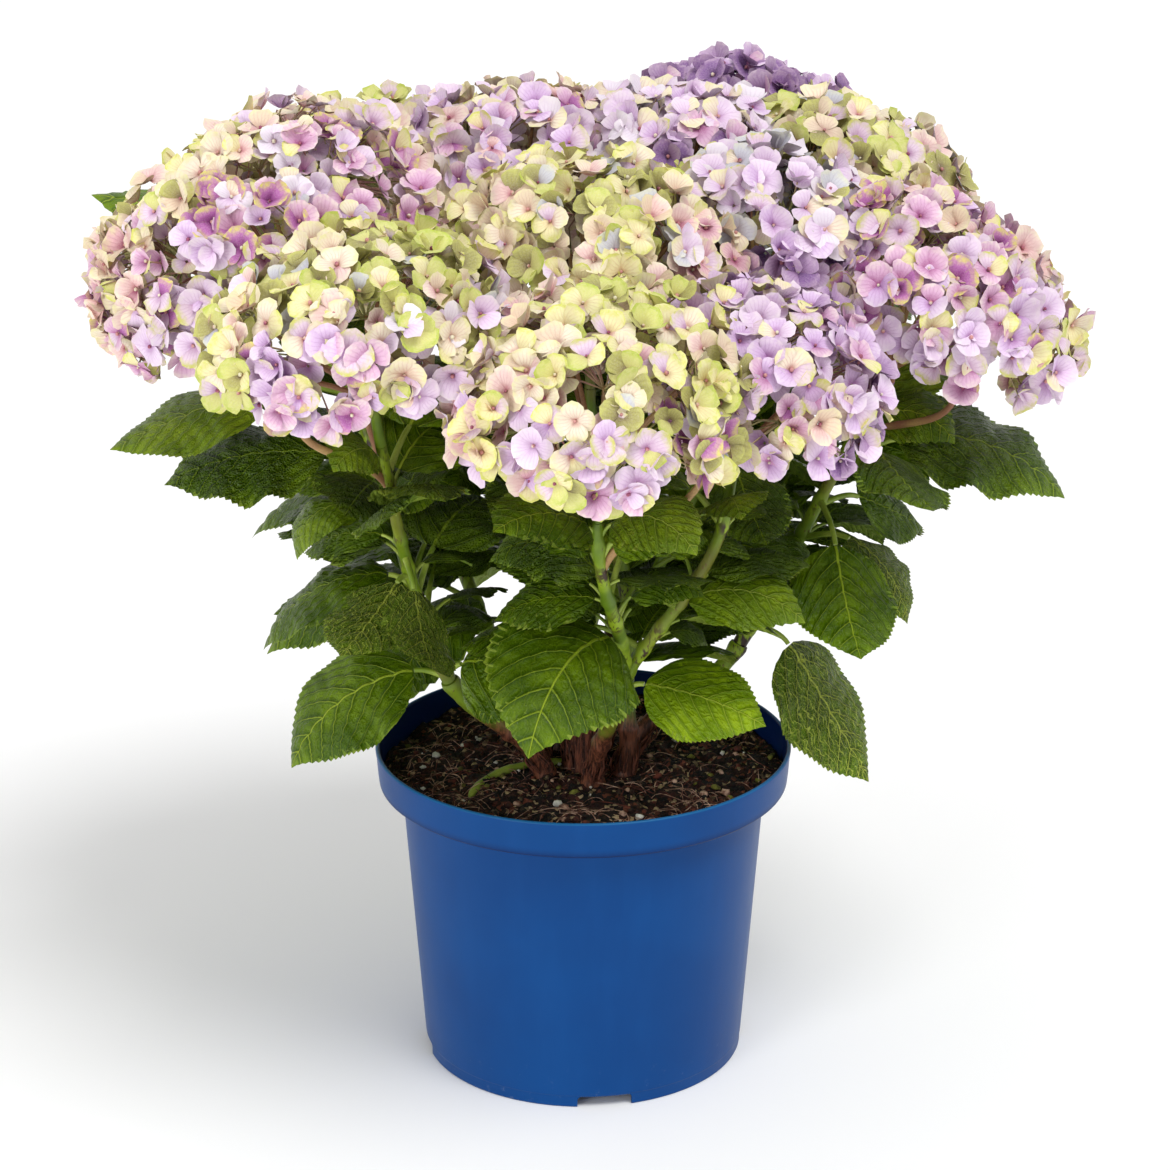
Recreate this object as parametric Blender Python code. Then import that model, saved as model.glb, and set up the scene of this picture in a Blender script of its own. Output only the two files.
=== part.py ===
"""A potted bigleaf hydrangea: canes rising from the compost, leafy shoots on them and thirteen mopheads.

Metres, +Z up. The origin is the middle of the pot's underside, and -Y is the front. Each mass of shoots and
each bloom is one node: its stems, leaves or florets are separate shapes that one Boolean union joins.
"""

import math
import random
from types import SimpleNamespace

import bmesh
import bpy
from mathutils import Matrix, Vector
from mathutils.bvhtree import BVHTree

UP = Vector((0, 0, 1))
CLEAR = 0.0003  # between pieces that rest on each other
SEED = 23

# Pot: a 23 cm, five litre nursery pot
POT_HEIGHT = 0.180
POT_RIM_RADIUS = 0.115
POT_COLLAR_HEIGHT = 0.0215
POT_COLLAR_RADIUS = 0.1132  # at the collar's lower edge
POT_NECK_RADIUS = 0.1008  # of the body under the collar
POT_FOOT_RADIUS = 0.089
POT_WALL = 0.0017
POT_FLOOR = 0.0090  # the floor's upper face; a recess under it leaves a foot ring and a middle pad
POT_RECESS = 0.0072
POT_FOOT_RING = 0.0026
POT_PAD_RADIUS = 0.016
POT_SIDES = 44
FOOT_STEP_HEIGHT = 0.0075
NOTCH_WIDTH = 0.030
NOTCH_HEIGHT = 0.0064
NOTCH_COUNT = 4
NOTCH_TURN = math.radians(7.7)  # of the front notch from straight ahead
DRAIN_COUNT = 4
DRAIN_RADIUS = 0.006
DRAIN_REACH = 0.056

# Compost
SOIL_TOP = 0.1655
SOIL_SIDES = 22
SOIL_ROUGHNESS = 0.0022
SOIL_FLAT_RADIUS = 0.040  # kept level under the canes

# Old wood and canes
OLD_WOOD_HEIGHT = 0.034
OLD_WOOD_RADIUS = 0.0105
CLUMP_RADIUS = 0.0250  # where the canes leave the ground
CANE_FOOT_RADIUS = 0.0056
CANE_RADIUS = 0.0044
CANE_SIDES = 8
FORK_HEIGHT = 0.230
SHOOT_RADIUS = 0.0040
SHOOT_TIP_RADIUS = 0.0029
SHOOT_SIDES = 6
BRANCH_START = 0.011  # how far up the first shoot the second one leaves

# Blooms: middle of the ellipsoid, half its width and half its height. A bloom leans out with its reach.
BLOOMS = {
    "left": ((-0.167, -0.004, 0.462), 0.102, 0.067),
    "front_left": ((-0.110, -0.134, 0.452), 0.080, 0.045),
    "front": ((0.008, -0.170, 0.428), 0.080, 0.050),
    "front_right": ((0.082, -0.122, 0.422), 0.072, 0.050),
    "right": ((0.181, -0.014, 0.438), 0.086, 0.052),
    "centre": ((0.004, -0.044, 0.466), 0.086, 0.052),
    "centre_right": ((0.100, 0.000, 0.464), 0.078, 0.050),
    "back_left": ((-0.040, 0.082, 0.478), 0.088, 0.054),
    "back": ((0.056, 0.078, 0.482), 0.080, 0.050),
    "back_right": ((0.140, 0.088, 0.468), 0.082, 0.053),
    "far_right": ((0.096, 0.180, 0.472), 0.080, 0.051),
    "rear": ((-0.012, 0.190, 0.442), 0.086, 0.054),
    "rear_left": ((-0.134, 0.126, 0.454), 0.092, 0.056),
}
BLOOM_LEAN = 2.6  # slope of a bloom's axis for each metre of reach
BLOOM_TILTS = {"left": 1.2, "right": 1.0, "centre": 0.5, "front": 0.5, "front_left": 0.5, "front_right": 0.6}
PEDUNCLE = 0.020  # bare stalk between the last leaves and the bloom's own stalks
BLOOM_FLOOR = -0.34  # where a bloom's underside turns in, as a share of its half height
HUB_DEPTH = 0.98  # of the point where the bloom's stalks part, below its middle, the same way
CORE_SHARE = 0.76
CORE_SIDES = 12
CORE_KNOBS = 0.07  # how far the core's surface goes in and out, as a share
FLORETS = 19
FLORET_SPREAD = math.radians(108)  # of the florets from the bloom's top
FLORET_REACH = 0.90
FLORET_CUP = 0.0045
FLORET_NOTCH = 0.56
CELL_MARGIN = 0.05  # blooms that press together keep this apart, in squared shares of their size
CORE_MARGIN = 0.24
GOLDEN_ANGLE = math.pi * (3 - math.sqrt(5))

# Canes: the blooms that each one carries, where it stands round the clump, its fork's share of their reach
CANES = {
    "left": (("left", "front_left"), 212, 0.52),
    "front": (("front", "front_right"), 282, 0.42),
    "centre": (("centre", "centre_right"), 332, 0.46),
    "right": (("right", "back_right"), 18, 0.54),
    "rear": (("rear", "far_right"), 66, 0.42),
    "back": (("back", "back_left"), 114, 0.42),
    "rear_left": (("rear_left",), 162, 0.42),
}

# Leaves that show well: cane, shoot, share up it, heading, length, start and end pitch, roll, stalk
SHOWN_LEAVES = (
    ("front", 0, 0.29, 240, 0.105, 25, -70, -30, 0.010),
    ("left", 0, 0.01, 190, 0.090, -5, -70, -25, 0.015),
    ("front", 0, 0.04, 340, 0.070, 0, -25, 30, 0.010),
    ("right", 1, 0.01, 340, 0.090, -55, -60, 15, 0.020),
    ("left", 0, 0.02, 320, 0.085, 25, -30, 40, 0.010),
    ("centre", 0, 0.24, 350, 0.110, 25, -70, 5, 0.035),
    ("right", 0, 0.76, 350, 0.100, 15, -50, 15, 0.035),
    ("left", 0, 0.97, 190, 0.090, -15, -25, -10, 0.040),
    ("left", 0, 0.68, 185, 0.090, 10, -30, -20, 0.030),
    ("right", 0, 0.46, 320, 0.060, -10, -80, -5, 0.030),
    ("right", 0, 0.64, 280, 0.075, -50, -20, -5, 0.035),
    ("left", 1, 0.40, 180, 0.085, 5, -70, -5, 0.010),
    ("left", 1, 0.46, 245, 0.065, -25, -10, -5, 0.010),
    ("front", 0, 0.78, 185, 0.055, 60, -10, -20, 0.010),
    ("front", 0, 0.65, 175, 0.065, 60, -50, -20, 0.010),
    ("front", 0, 0.85, 325, 0.055, 45, -10, 35, 0.010),
    ("left", 0, 0.84, 45, 0.060, -20, 0, 35, 0.010),
    ("left", 0, 0.66, 305, 0.060, 20, 0, 40, 0.010),
    ("left", 1, 0.56, 285, 0.060, -60, 5, -35, 0.020),
    ("centre", 0, 0.06, 5, 0.070, 20, 5, 20, 0.020),
    ("centre", 1, 0.74, 285, 0.060, -35, -15, 5, 0.030),
    ("right", 1, 0.80, 340, 0.075, -20, -30, 20, 0.040),
    ("right", 0, 0.89, 290, 0.070, -15, -5, -15, 0.030),
    ("right", 0, 0.61, 35, 0.055, -25, -35, 40, 0.025),
    ("left", 0, 0.49, 200, 0.055, 30, -100, -5, 0.025),
    ("centre", 0, 0.61, 235, 0.065, 5, -5, -25, 0.035),
    ("left", 0, 0.64, 260, 0.065, 10, -5, -25, 0.030),
)

# Other leaf pairs: share of the way up the shoot, blade length, start and end pitch in degrees
LOW_PAIR = (0.06, 0.112, 14, -60)
SHOOT_PAIRS = (
    (0.20, 0.075, 10, -40),
    (0.49, 0.070, 15, -40),
    (0.34, 0.110, 24, -52),
    (0.64, 0.104, 30, -44),
    (0.90, 0.082, 30, -34),
)
BEHIND = 0.2  # least part away from the front in a chance leaf's heading, on a cane with shown leaves
LEAF_WIDTH = 0.76  # of its length
LEAF_THICKNESS = 0.021  # of its length, at the midrib
LEAF_DROOP = 0.16  # fall of the edges from the midrib
LEAF_BASE_POWER, LEAF_TIP_POWER = 0.58, 0.95
PETIOLE = 0.022
PETIOLE_RADIUS = 0.0016
PETIOLE_RISE = 20  # degrees, and more under a blade that starts steeply
PETIOLE_FALL = -40  # the steepest fall
LEAF_LIGHT = 0.62  # how far leaves turn out of the crown to the light
LEAF_STATIONS = (0.10, 0.38, 0.72)
LEAF_GAP = 0.0011  # kept clear round a leaf
LEAF_TRIES = 9


# Shapes of the plant that both the limbs and the leaves are measured from


def plan_blooms():
    """Each bloom's place, axis, size and hub, by name."""
    blooms = {}
    for name, (middle, across, tall) in BLOOMS.items():
        middle = Vector(middle)
        outward = Vector((middle.x, middle.y, 0))
        axis = (UP + outward * BLOOM_LEAN * BLOOM_TILTS.get(name, 0.85)).normalized()
        turn = UP.rotation_difference(axis).to_matrix()
        blooms[name] = SimpleNamespace(
            name=name,
            middle=middle,
            axis=axis,
            turn=turn,
            size=Vector((across, across, tall)),
            hub=middle - axis * tall * HUB_DEPTH,
            tip=middle - axis * (tall * HUB_DEPTH + PEDUNCLE),
        )
    return blooms


def bloom_point(bloom, direction, share=1.0):
    """The point that a unit direction in the bloom's own axes reaches on its ellipsoid."""
    stretched = Vector(d * s for d, s in zip(direction, bloom.size))
    return bloom.middle + bloom.turn @ stretched * share


def bloom_level(bloom, point):
    """Squared distance from the bloom's middle, 1 on its ellipsoid."""
    own = bloom.turn.transposed() @ (point - bloom.middle)
    return sum((x / s) ** 2 for x, s in zip(own, bloom.size))


def in_own_cell(bloom, others, point, margin=CELL_MARGIN):
    level = bloom_level(bloom, point) + margin
    return all(level < bloom_level(other, point) for other in others)


def curve_between(start, start_way, end, end_way, pull=0.36):
    """The four control points of a cubic curve."""
    reach = (end - start).length * pull
    return start, start + start_way * reach, end - end_way * reach, end


def place_at(curve, t):
    u = 1 - t
    a, b, c, d = curve
    return a * u**3 + b * 3 * u * u * t + c * 3 * u * t * t + d * t**3


def way_at(curve, t):
    u = 1 - t
    a, b, c, d = curve
    return ((b - a) * u * u + (c - b) * 2 * u * t + (d - c) * t * t).normalized()


def plan_canes(blooms):
    """Each cane's curve from the ground to its fork, and the curve of each shoot on to its bloom."""
    canes = {}
    for name, (carried, foot_turn, reach) in CANES.items():
        tips = [blooms[b] for b in carried]
        mean = sum((b.middle for b in tips), Vector()) / len(tips)
        flat = Vector((mean.x, mean.y, 0))
        place = Matrix.Rotation(math.radians(foot_turn), 3, "Z") @ Vector((CLUMP_RADIUS, 0, 0))
        foot = place + UP * (SOIL_TOP + CLEAR)
        fork = flat * reach + UP * FORK_HEIGHT
        start_way = (UP + place.normalized() * 0.3).normalized()
        onward = (sum((b.tip for b in tips), Vector()) / len(tips) - fork).normalized()
        fork_way = ((fork - foot).normalized() + onward * 1.3).normalized()
        cane = curve_between(foot, start_way, fork, fork_way)
        shoots = []
        for bloom in tips:
            start = fork + fork_way * CLEAR
            way = fork_way
            if shoots:
                start = place_at(shoots[0].curve, BRANCH_START / (fork - tips[0].tip).length)
                way = (fork_way * 0.35 + (bloom.tip - start).normalized()).normalized()
            curve = curve_between(start, way, bloom.tip, bloom.axis)
            shoots.append(SimpleNamespace(curve=curve, bloom=bloom))
        canes[name] = SimpleNamespace(name=name, curve=cane, shoots=shoots, outward=flat.normalized())
    return canes


# Leaves


def leaf_half_width(leaf, t):
    peak = LEAF_BASE_POWER / (LEAF_BASE_POWER + LEAF_TIP_POWER)
    most = peak**LEAF_BASE_POWER * (1 - peak) ** LEAF_TIP_POWER
    shape = t**LEAF_BASE_POWER * (1 - t) ** LEAF_TIP_POWER / most
    return leaf.length * LEAF_WIDTH / 2 * shape


def leaf_frame(leaf, t):
    """Place on the midrib, side way and up way at share t of the blade."""
    first, bend = leaf.pitch[0], leaf.pitch[1] - leaf.pitch[0]
    pitch = first + bend * t
    along = (math.sin(pitch) - math.sin(first)) / bend
    rise = (math.cos(first) - math.cos(pitch)) / bend
    place = leaf.start + (leaf.heading * along + UP * rise) * leaf.length
    side = UP.cross(leaf.heading)
    up = UP * math.cos(pitch) - leaf.heading * math.sin(pitch)
    tilted = side * math.cos(leaf.roll) + up * math.sin(leaf.roll)
    return place, tilted, up * math.cos(leaf.roll) - side * math.sin(leaf.roll)


def leaf_rings(leaf, with_petiole=True, grow=0.0):
    """Rings of left, top, right and bottom points along the petiole and the blade, and the blade's tip."""
    rings = []
    radius = PETIOLE_RADIUS + grow
    place, side, up = leaf_frame(leaf, 0.0)
    if with_petiole:
        across = UP.cross(leaf.rise_way).normalized()
        over = leaf.rise_way.cross(across)
        rings.append([leaf.root + w * radius for w in (across, over, -across, -over)])
        rings.append([place + w * radius for w in (side, up, -side, -up)])
    for t in LEAF_STATIONS:
        place, side, up = leaf_frame(leaf, t)
        width = leaf_half_width(leaf, t) + grow
        thick = leaf.length * LEAF_THICKNESS / 2 + grow
        fall = up * width * LEAF_DROOP
        left, right = place + side * width - fall, place - side * width - fall
        rings.append([left, place + up * thick, right, place - up * thick])
    return rings, leaf_frame(leaf, 1.0)[0]


def loft(rings, tip=None, cap_start=True):
    """Points and faces of rings joined in turn, closed by a point or a flat end."""
    count = len(rings[0])
    points = [p for ring in rings for p in ring]
    faces = []
    for r in range(len(rings) - 1):
        for i in range(count):
            j = (i + 1) % count
            faces.append([r * count + i, r * count + j, (r + 1) * count + j, (r + 1) * count + i])
    last = (len(rings) - 1) * count
    if tip is None:
        faces.append([last + i for i in range(count)])
    else:
        points.append(tip)
        faces += [[last + i, last + (i + 1) % count, len(points) - 1] for i in range(count)]
    if cap_start:
        faces.append(list(range(count))[::-1])
    return points, faces


def tree_of(shape):
    """A search tree over triangles: longer faces are split from their first corner."""
    points, faces = shape
    triangles = [(f[0], f[i], f[i + 1]) for f in faces for i in range(1, len(f) - 1)]
    return BVHTree.FromPolygons([p[:] for p in points], triangles)


def new_leaf(place, heading, length, first, last, roll, stalk):
    """A leaf that grows from a point inside its limb towards heading. Pitches and roll are in degrees."""
    rise = math.radians(max(PETIOLE_FALL, PETIOLE_RISE + first * 0.8))
    rise_way = (heading * math.cos(rise) + UP * math.sin(rise)).normalized()
    return SimpleNamespace(
        root=place,
        rise_way=rise_way,
        start=place + rise_way * (SHOOT_RADIUS + stalk),
        heading=heading,
        length=length,
        pitch=(math.radians(first), math.radians(last)),
        roll=math.radians(roll),
    )


def pair_headings(way, outward, turn):
    """Two opposite headings square to a stem, both drawn outwards to the light."""
    across = way.cross(UP) if way.cross(UP).length > 0.05 else outward.cross(UP)
    spin = Matrix.Rotation(turn, 3, "Z")
    found = []
    for side in (1, -1):
        flat = spin @ (across.normalized() * side) + outward * LEAF_LIGHT
        found.append(Vector((flat.x, flat.y, 0)).normalized())
    return found


def plan_leaves(canes, obstacles):
    """The leaves that find room, mass by mass. obstacles are pairs of an owner and a search tree; a leaf's
    stalk may touch only what its own mass owns, and its blade touches nothing."""
    rng = random.Random(SEED)
    taken = list(obstacles)
    leaves = {name: [] for name in canes}

    def settle(cane, shoot, share, heading, swing, draw):
        """Tries headings near the one given. draw gives each try's length, pitches, roll and stalk."""
        for attempt in range(LEAF_TRIES):
            turn = math.radians(rng.uniform(-swing, swing) * (0.2 + attempt))
            way = Matrix.Rotation(turn, 3, "Z") @ heading
            length, *posture = draw()
            leaf = new_leaf(place_at(shoot.curve, share), way, length * (1 - 0.035 * attempt), *posture)
            blade = tree_of(loft(*leaf_rings(leaf, with_petiole=False, grow=LEAF_GAP)))
            whole = tree_of(loft(*leaf_rings(leaf, grow=LEAF_GAP)))
            if any((blade if owner == cane.name else whole).overlap(tree) for owner, tree in taken):
                continue
            taken.append((cane.name, tree_of(loft(*leaf_rings(leaf)))))
            leaves[cane.name].append(leaf)
            return

    def by_chance(length, first, last):
        def draw():
            tilts = first + rng.uniform(-12, 12), last + rng.uniform(-14, 14), rng.uniform(-14, 14)
            return length * rng.uniform(0.92, 1.08), *tilts, PETIOLE * rng.uniform(0.75, 1.3)

        return draw

    for name, number, share, heading, *posture in SHOWN_LEAVES:
        way = Matrix.Rotation(math.radians(heading), 3, "Z") @ Vector((1, 0, 0))
        settle(canes[name], canes[name].shoots[number], share, way, 2, lambda: posture)
    shown = {entry[0] for entry in SHOWN_LEAVES if entry[2] <= LOW_PAIR[0]}
    for cane in canes.values():
        if cane.name in shown:
            continue
        for heading in pair_headings(way_at(cane.curve, 1), cane.outward, 0):
            settle(cane, cane.shoots[0], LOW_PAIR[0], heading, 10, by_chance(*LOW_PAIR[1:]))
    for level, pair in reversed(list(enumerate(SHOOT_PAIRS))):
        for cane in canes.values():
            for number, shoot in enumerate(cane.shoots):
                middle = shoot.bloom.middle
                outward = Vector((middle.x, middle.y, 0)).normalized()
                turn = math.pi / 2 * ((level + number) % 2) + rng.uniform(-0.3, 0.3)
                for heading in pair_headings(way_at(shoot.curve, pair[0]), outward, turn):
                    if cane.name in shown and heading.y < BEHIND:
                        continue
                    settle(cane, shoot, pair[0], heading, 10, by_chance(*pair[1:]))
    return leaves


# Solids


def clear_scene():
    for old in list(bpy.data.objects):
        bpy.data.objects.remove(old)


def material(name, colour, roughness, metallic=0.0):
    made = bpy.data.materials.new(name)
    made.use_nodes = True
    shader = made.node_tree.nodes["Principled BSDF"]
    shader.inputs["Base Color"].default_value = (*colour, 1)
    shader.inputs["Roughness"].default_value = roughness
    shader.inputs["Metallic"].default_value = metallic
    return made


def add_object(name, points, faces, paint=None, collection=None):
    """A closed mesh with its faces pointing out, as an object."""
    mesh = bpy.data.meshes.new(name)
    mesh.from_pydata([tuple(p) for p in points], [], faces)
    shape = bmesh.new()
    shape.from_mesh(mesh)
    bmesh.ops.recalc_face_normals(shape, faces=shape.faces)
    bmesh.ops.triangulate(shape, faces=[f for f in shape.faces if len(f.verts) > 4])
    shape.to_mesh(mesh)
    shape.free()
    if paint:
        mesh.materials.append(paint)
    made = bpy.data.objects.new(name, mesh)
    (collection or bpy.context.scene.collection).objects.link(made)
    return made


def apply_modifiers(target):
    graph = bpy.context.evaluated_depsgraph_get()
    mesh = bpy.data.meshes.new_from_object(target.evaluated_get(graph))
    target.modifiers.clear()
    target.data = mesh


def fuse(name, shapes, paint):
    """One node from many closed shapes, joined by one Boolean union on a collection."""
    target = add_object(name, *shapes[0], paint)
    if len(shapes) == 1:
        return target
    parts = bpy.data.collections.new(name + "_shapes")
    bpy.context.scene.collection.children.link(parts)
    for number, shape in enumerate(shapes[1:]):
        add_object(f"{name}_{number}", *shape, paint, parts)
    union = target.modifiers.new("join", "BOOLEAN")
    union.operation = "UNION"
    union.operand_type = "COLLECTION"
    union.collection = parts
    union.solver = "EXACT"
    apply_modifiers(target)
    for part in list(parts.objects):
        bpy.data.objects.remove(part)
    bpy.data.collections.remove(parts)
    return target


def smooth(target, angle=40):
    target.data.shade_smooth()
    target.data.set_sharp_from_angle(angle=math.radians(angle))


def turned(profile, sides):
    """A closed profile of radius and height turned round Z. Points on the axis stay single."""
    points, rows = [], []
    for radius, height in profile:
        if radius == 0:
            rows.append([len(points)] * sides)
            points.append((0, 0, height))
            continue
        rows.append(list(range(len(points), len(points) + sides)))
        for i in range(sides):
            angle = math.tau * i / sides
            points.append((radius * math.cos(angle), radius * math.sin(angle), height))
    faces = []
    for low, high in zip(rows, rows[1:]):
        for i in range(sides):
            j = (i + 1) % sides
            face = [low[i], low[j], high[j], high[i]]
            faces.append(list(dict.fromkeys(face)))
    return points, faces


def tube_rings(curve, radius_at, sides, steps, level_start=False):
    """Rings round a curve, without twist. A level start is cut flat on the ground."""
    rings = []
    side = None
    for step in range(steps + 1):
        t = step / steps
        way = way_at(curve, t)
        side = (side - way * side.dot(way) if side else way.orthogonal()).normalized()
        over = way.cross(side)
        ring = []
        for i in range(sides):
            angle = math.tau * i / sides
            ring.append(place_at(curve, t) + (side * math.cos(angle) + over * math.sin(angle)) * radius_at(t))
        if level_start and step == 0:
            ring = [Vector((p.x, p.y, curve[0].z)) for p in ring]
        rings.append(ring)
    return rings


def cutter(name, points, faces):
    made = add_object(name, points, faces)
    made.hide_render = True
    made.display_type = "WIRE"
    return made


def box_shape(low, high, turn):
    corners = [Vector((x, y, z)) for z in (low[2], high[2]) for x, y in
               ((low[0], low[1]), (high[0], low[1]), (high[0], high[1]), (low[0], high[1]))]
    spin = Matrix.Rotation(turn, 3, "Z")
    return loft([[spin @ c for c in corners[:4]], [spin @ c for c in corners[4:]]])


def cut(target, tool):
    modifier = target.modifiers.new(tool.name, "BOOLEAN")
    modifier.operation = "DIFFERENCE"
    modifier.object = tool


def make_pot(paint):
    """The pot: foot ring, tapered wall, collar and thin lip, with notches in the foot and drain holes."""
    collar = POT_HEIGHT - POT_COLLAR_HEIGHT
    slope = (POT_NECK_RADIUS - POT_FOOT_RADIUS) / collar
    step_radius = POT_FOOT_RADIUS + slope * FOOT_STEP_HEIGHT
    lip = 0.0012
    profile = [
        (0, 0),
        (POT_PAD_RADIUS, 0),
        (POT_PAD_RADIUS + 0.001, POT_RECESS),
        (POT_FOOT_RADIUS - POT_FOOT_RING, POT_RECESS),
        (POT_FOOT_RADIUS - POT_FOOT_RING, 0),
        (POT_FOOT_RADIUS - 0.0012, 0),
        (POT_FOOT_RADIUS - 0.0004, FOOT_STEP_HEIGHT - 0.0006),
        (step_radius, FOOT_STEP_HEIGHT),
        (POT_NECK_RADIUS, collar),
        (POT_COLLAR_RADIUS - 0.0012, collar + 0.0010),
        (POT_COLLAR_RADIUS, collar + 0.0026),
        (POT_RIM_RADIUS - 0.0004, POT_HEIGHT - 0.0030),
        (POT_RIM_RADIUS, POT_HEIGHT - lip),
        (POT_RIM_RADIUS - lip, POT_HEIGHT),
        (POT_RIM_RADIUS - 2 * lip, POT_HEIGHT - lip),
        (POT_COLLAR_RADIUS - POT_WALL, collar + 0.0032),
        (POT_NECK_RADIUS - POT_WALL, collar + 0.0012),
        (POT_FOOT_RADIUS - POT_WALL + slope * POT_FLOOR, POT_FLOOR),
        (0, POT_FLOOR),
    ]
    pot = add_object("pot", *turned(profile, POT_SIDES), paint)
    reach = POT_FOOT_RADIUS + 0.010
    low = (-NOTCH_WIDTH / 2, -reach, -0.004)
    high = (NOTCH_WIDTH / 2, -(POT_FOOT_RADIUS - 0.012), NOTCH_HEIGHT)
    for n in range(NOTCH_COUNT):
        turn = NOTCH_TURN + math.tau * n / NOTCH_COUNT
        cut(pot, cutter(f"notch_{n}", *box_shape(low, high, turn)))
    for n in range(DRAIN_COUNT):
        angle = math.tau * (n + 0.5) / DRAIN_COUNT
        middle = Vector((math.cos(angle), math.sin(angle), 0)) * DRAIN_REACH
        rings = [
            [middle + Vector((DRAIN_RADIUS * math.cos(a), DRAIN_RADIUS * math.sin(a), z)) for a in
             (math.tau * i / 10 for i in range(10))]
            for z in (POT_RECESS - 0.003, POT_FLOOR + 0.003)
        ]
        cut(pot, cutter(f"drain_{n}", *loft(rings)))
    apply_modifiers(pot)
    for tool in [o for o in bpy.data.objects if o.hide_render]:
        bpy.data.objects.remove(tool)
    smooth(pot, 30)
    return pot


def soil_height(x, y):
    """The compost's uneven surface, level round the canes."""
    away = math.hypot(x, y)
    share = min(1, max(0, (away - SOIL_FLAT_RADIUS) / 0.03))
    wave = math.sin(71 * x + 1.3) * math.cos(83 * y - 0.4) + 0.6 * math.sin(151 * x * 0.9 + 140 * y)
    return SOIL_TOP - 0.0015 * share + SOIL_ROUGHNESS * share * wave


def make_soil(paint):
    """The root ball: it fills the pot to just under the lip."""
    collar = POT_HEIGHT - POT_COLLAR_HEIGHT
    gap = CLEAR + POT_WALL
    slope = (POT_NECK_RADIUS - POT_FOOT_RADIUS) / collar
    edge = POT_COLLAR_RADIUS - gap - 0.0003
    profile = [
        (0, POT_FLOOR + CLEAR),
        (POT_FOOT_RADIUS - gap - 0.0004 + slope * POT_FLOOR, POT_FLOOR + CLEAR),
        (POT_NECK_RADIUS - gap - 0.0004, collar + 0.0019),
        (edge - 0.0012, collar + 0.0040),
    ]
    inner = [(edge * share, None) for share in (1.0, 0.8, 0.56)]
    inner.append((SOIL_FLAT_RADIUS, None))
    points, faces = turned(profile + inner + [(0, SOIL_TOP)], SOIL_SIDES)
    points = [(x, y, soil_height(x, y) if z is None else z) for x, y, z in points]
    soil = add_object("compost", points, faces, paint)
    smooth(soil, 60)
    return soil


def make_old_wood(paint):
    """The brown stump of earlier years in the middle of the clump."""
    rings = []
    for share, width in ((0, 1.25), (0.22, 1.0), (0.7, 0.86), (1, 0.66)):
        ring = []
        for i in range(9):
            angle = math.tau * i / 9
            radius = OLD_WOOD_RADIUS * width * (1 + 0.14 * math.sin(angle * 3 + share * 2))
            height = SOIL_TOP + CLEAR + OLD_WOOD_HEIGHT * share
            lean = Vector((0.004, -0.005, 0)) * share
            ring.append(Vector((radius * math.cos(angle), radius * math.sin(angle), height)) + lean)
        rings.append(ring)
    return add_object("old_wood", *loft(rings), paint)


def cane_rings(cane):
    def radius(t):
        return CANE_RADIUS + (CANE_FOOT_RADIUS - CANE_RADIUS) * (1 - t) ** 3

    return tube_rings(cane.curve, radius, CANE_SIDES, 5, level_start=True)


def shoot_rings(shoot, number):
    thick = SHOOT_RADIUS * (0.86 if number else 1.0)

    def radius(t):
        return thick + (SHOOT_TIP_RADIUS - thick) * t

    return tube_rings(shoot.curve, radius, SHOOT_SIDES, 5)


def bloom_space(bloom):
    """The room of a whole bloom: its dome and the cone of stalks under it."""
    rings = []
    profile = [(0.06, -HUB_DEPTH), (0.80, -0.62), (0.98, -0.32), (1.0, 0)]
    profile += [(0.84, 0.54), (0.5, 0.866), (0.1, 0.995)]
    for radius, height in profile:
        ring = []
        for i in range(20):
            angle = math.tau * i / 20
            direction = (radius * math.cos(angle), radius * math.sin(angle), height)
            ring.append(bloom_point(bloom, direction, 1.03))
        rings.append(ring)
    return loft(rings)


def core_reach(bloom, others, direction):
    """How far the core goes in a direction: less where another bloom presses on it."""
    share = CORE_SHARE
    while share > 0.3 and not in_own_cell(bloom, others, bloom_point(bloom, direction, share), CORE_MARGIN):
        share -= 0.03
    return share


def core_shape(bloom, others, rng):
    """The knobbly mass of stalks and inner florets, from the hub to the top."""
    rings = []
    for radius, height in ((0.06, -HUB_DEPTH), (0.60, BLOOM_FLOOR), (0.76, 0), (0.60, 0.46), (0.30, 0.70)):
        ring = []
        for i in range(CORE_SIDES):
            angle = math.tau * i / CORE_SIDES
            way = Vector((radius * math.cos(angle), radius * math.sin(angle), height))
            share = way.length
            if rings:
                share = min(share, core_reach(bloom, others, way.normalized()))
                share *= 1 - CORE_KNOBS * rng.random() * 2
            ring.append(bloom_point(bloom, way.normalized(), share))
        rings.append(ring)
    return loft(rings, bloom_point(bloom, UP, CORE_SHARE))


def stalk_shape(bloom):
    top = bloom.hub + bloom.axis * bloom.size.z * 0.3
    line = curve_between(bloom.tip + bloom.axis * CLEAR, bloom.axis, top, bloom.axis)
    return loft(tube_rings(line, lambda t: SHOOT_TIP_RADIUS * (1 - 0.15 * t), SHOOT_SIDES, 1))


def floret_directions(count, spread, rng, jitter):
    """Unit directions spread evenly over a bloom's dome, from its top down."""
    for i in range(count):
        height = 1 - (i + 0.5) / count * (1 - math.cos(spread))
        angle = i * GOLDEN_ANGLE + rng.uniform(-jitter, jitter)
        flat = math.sqrt(max(0, 1 - height * height))
        yield Vector((flat * math.cos(angle), flat * math.sin(angle), height))


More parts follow.
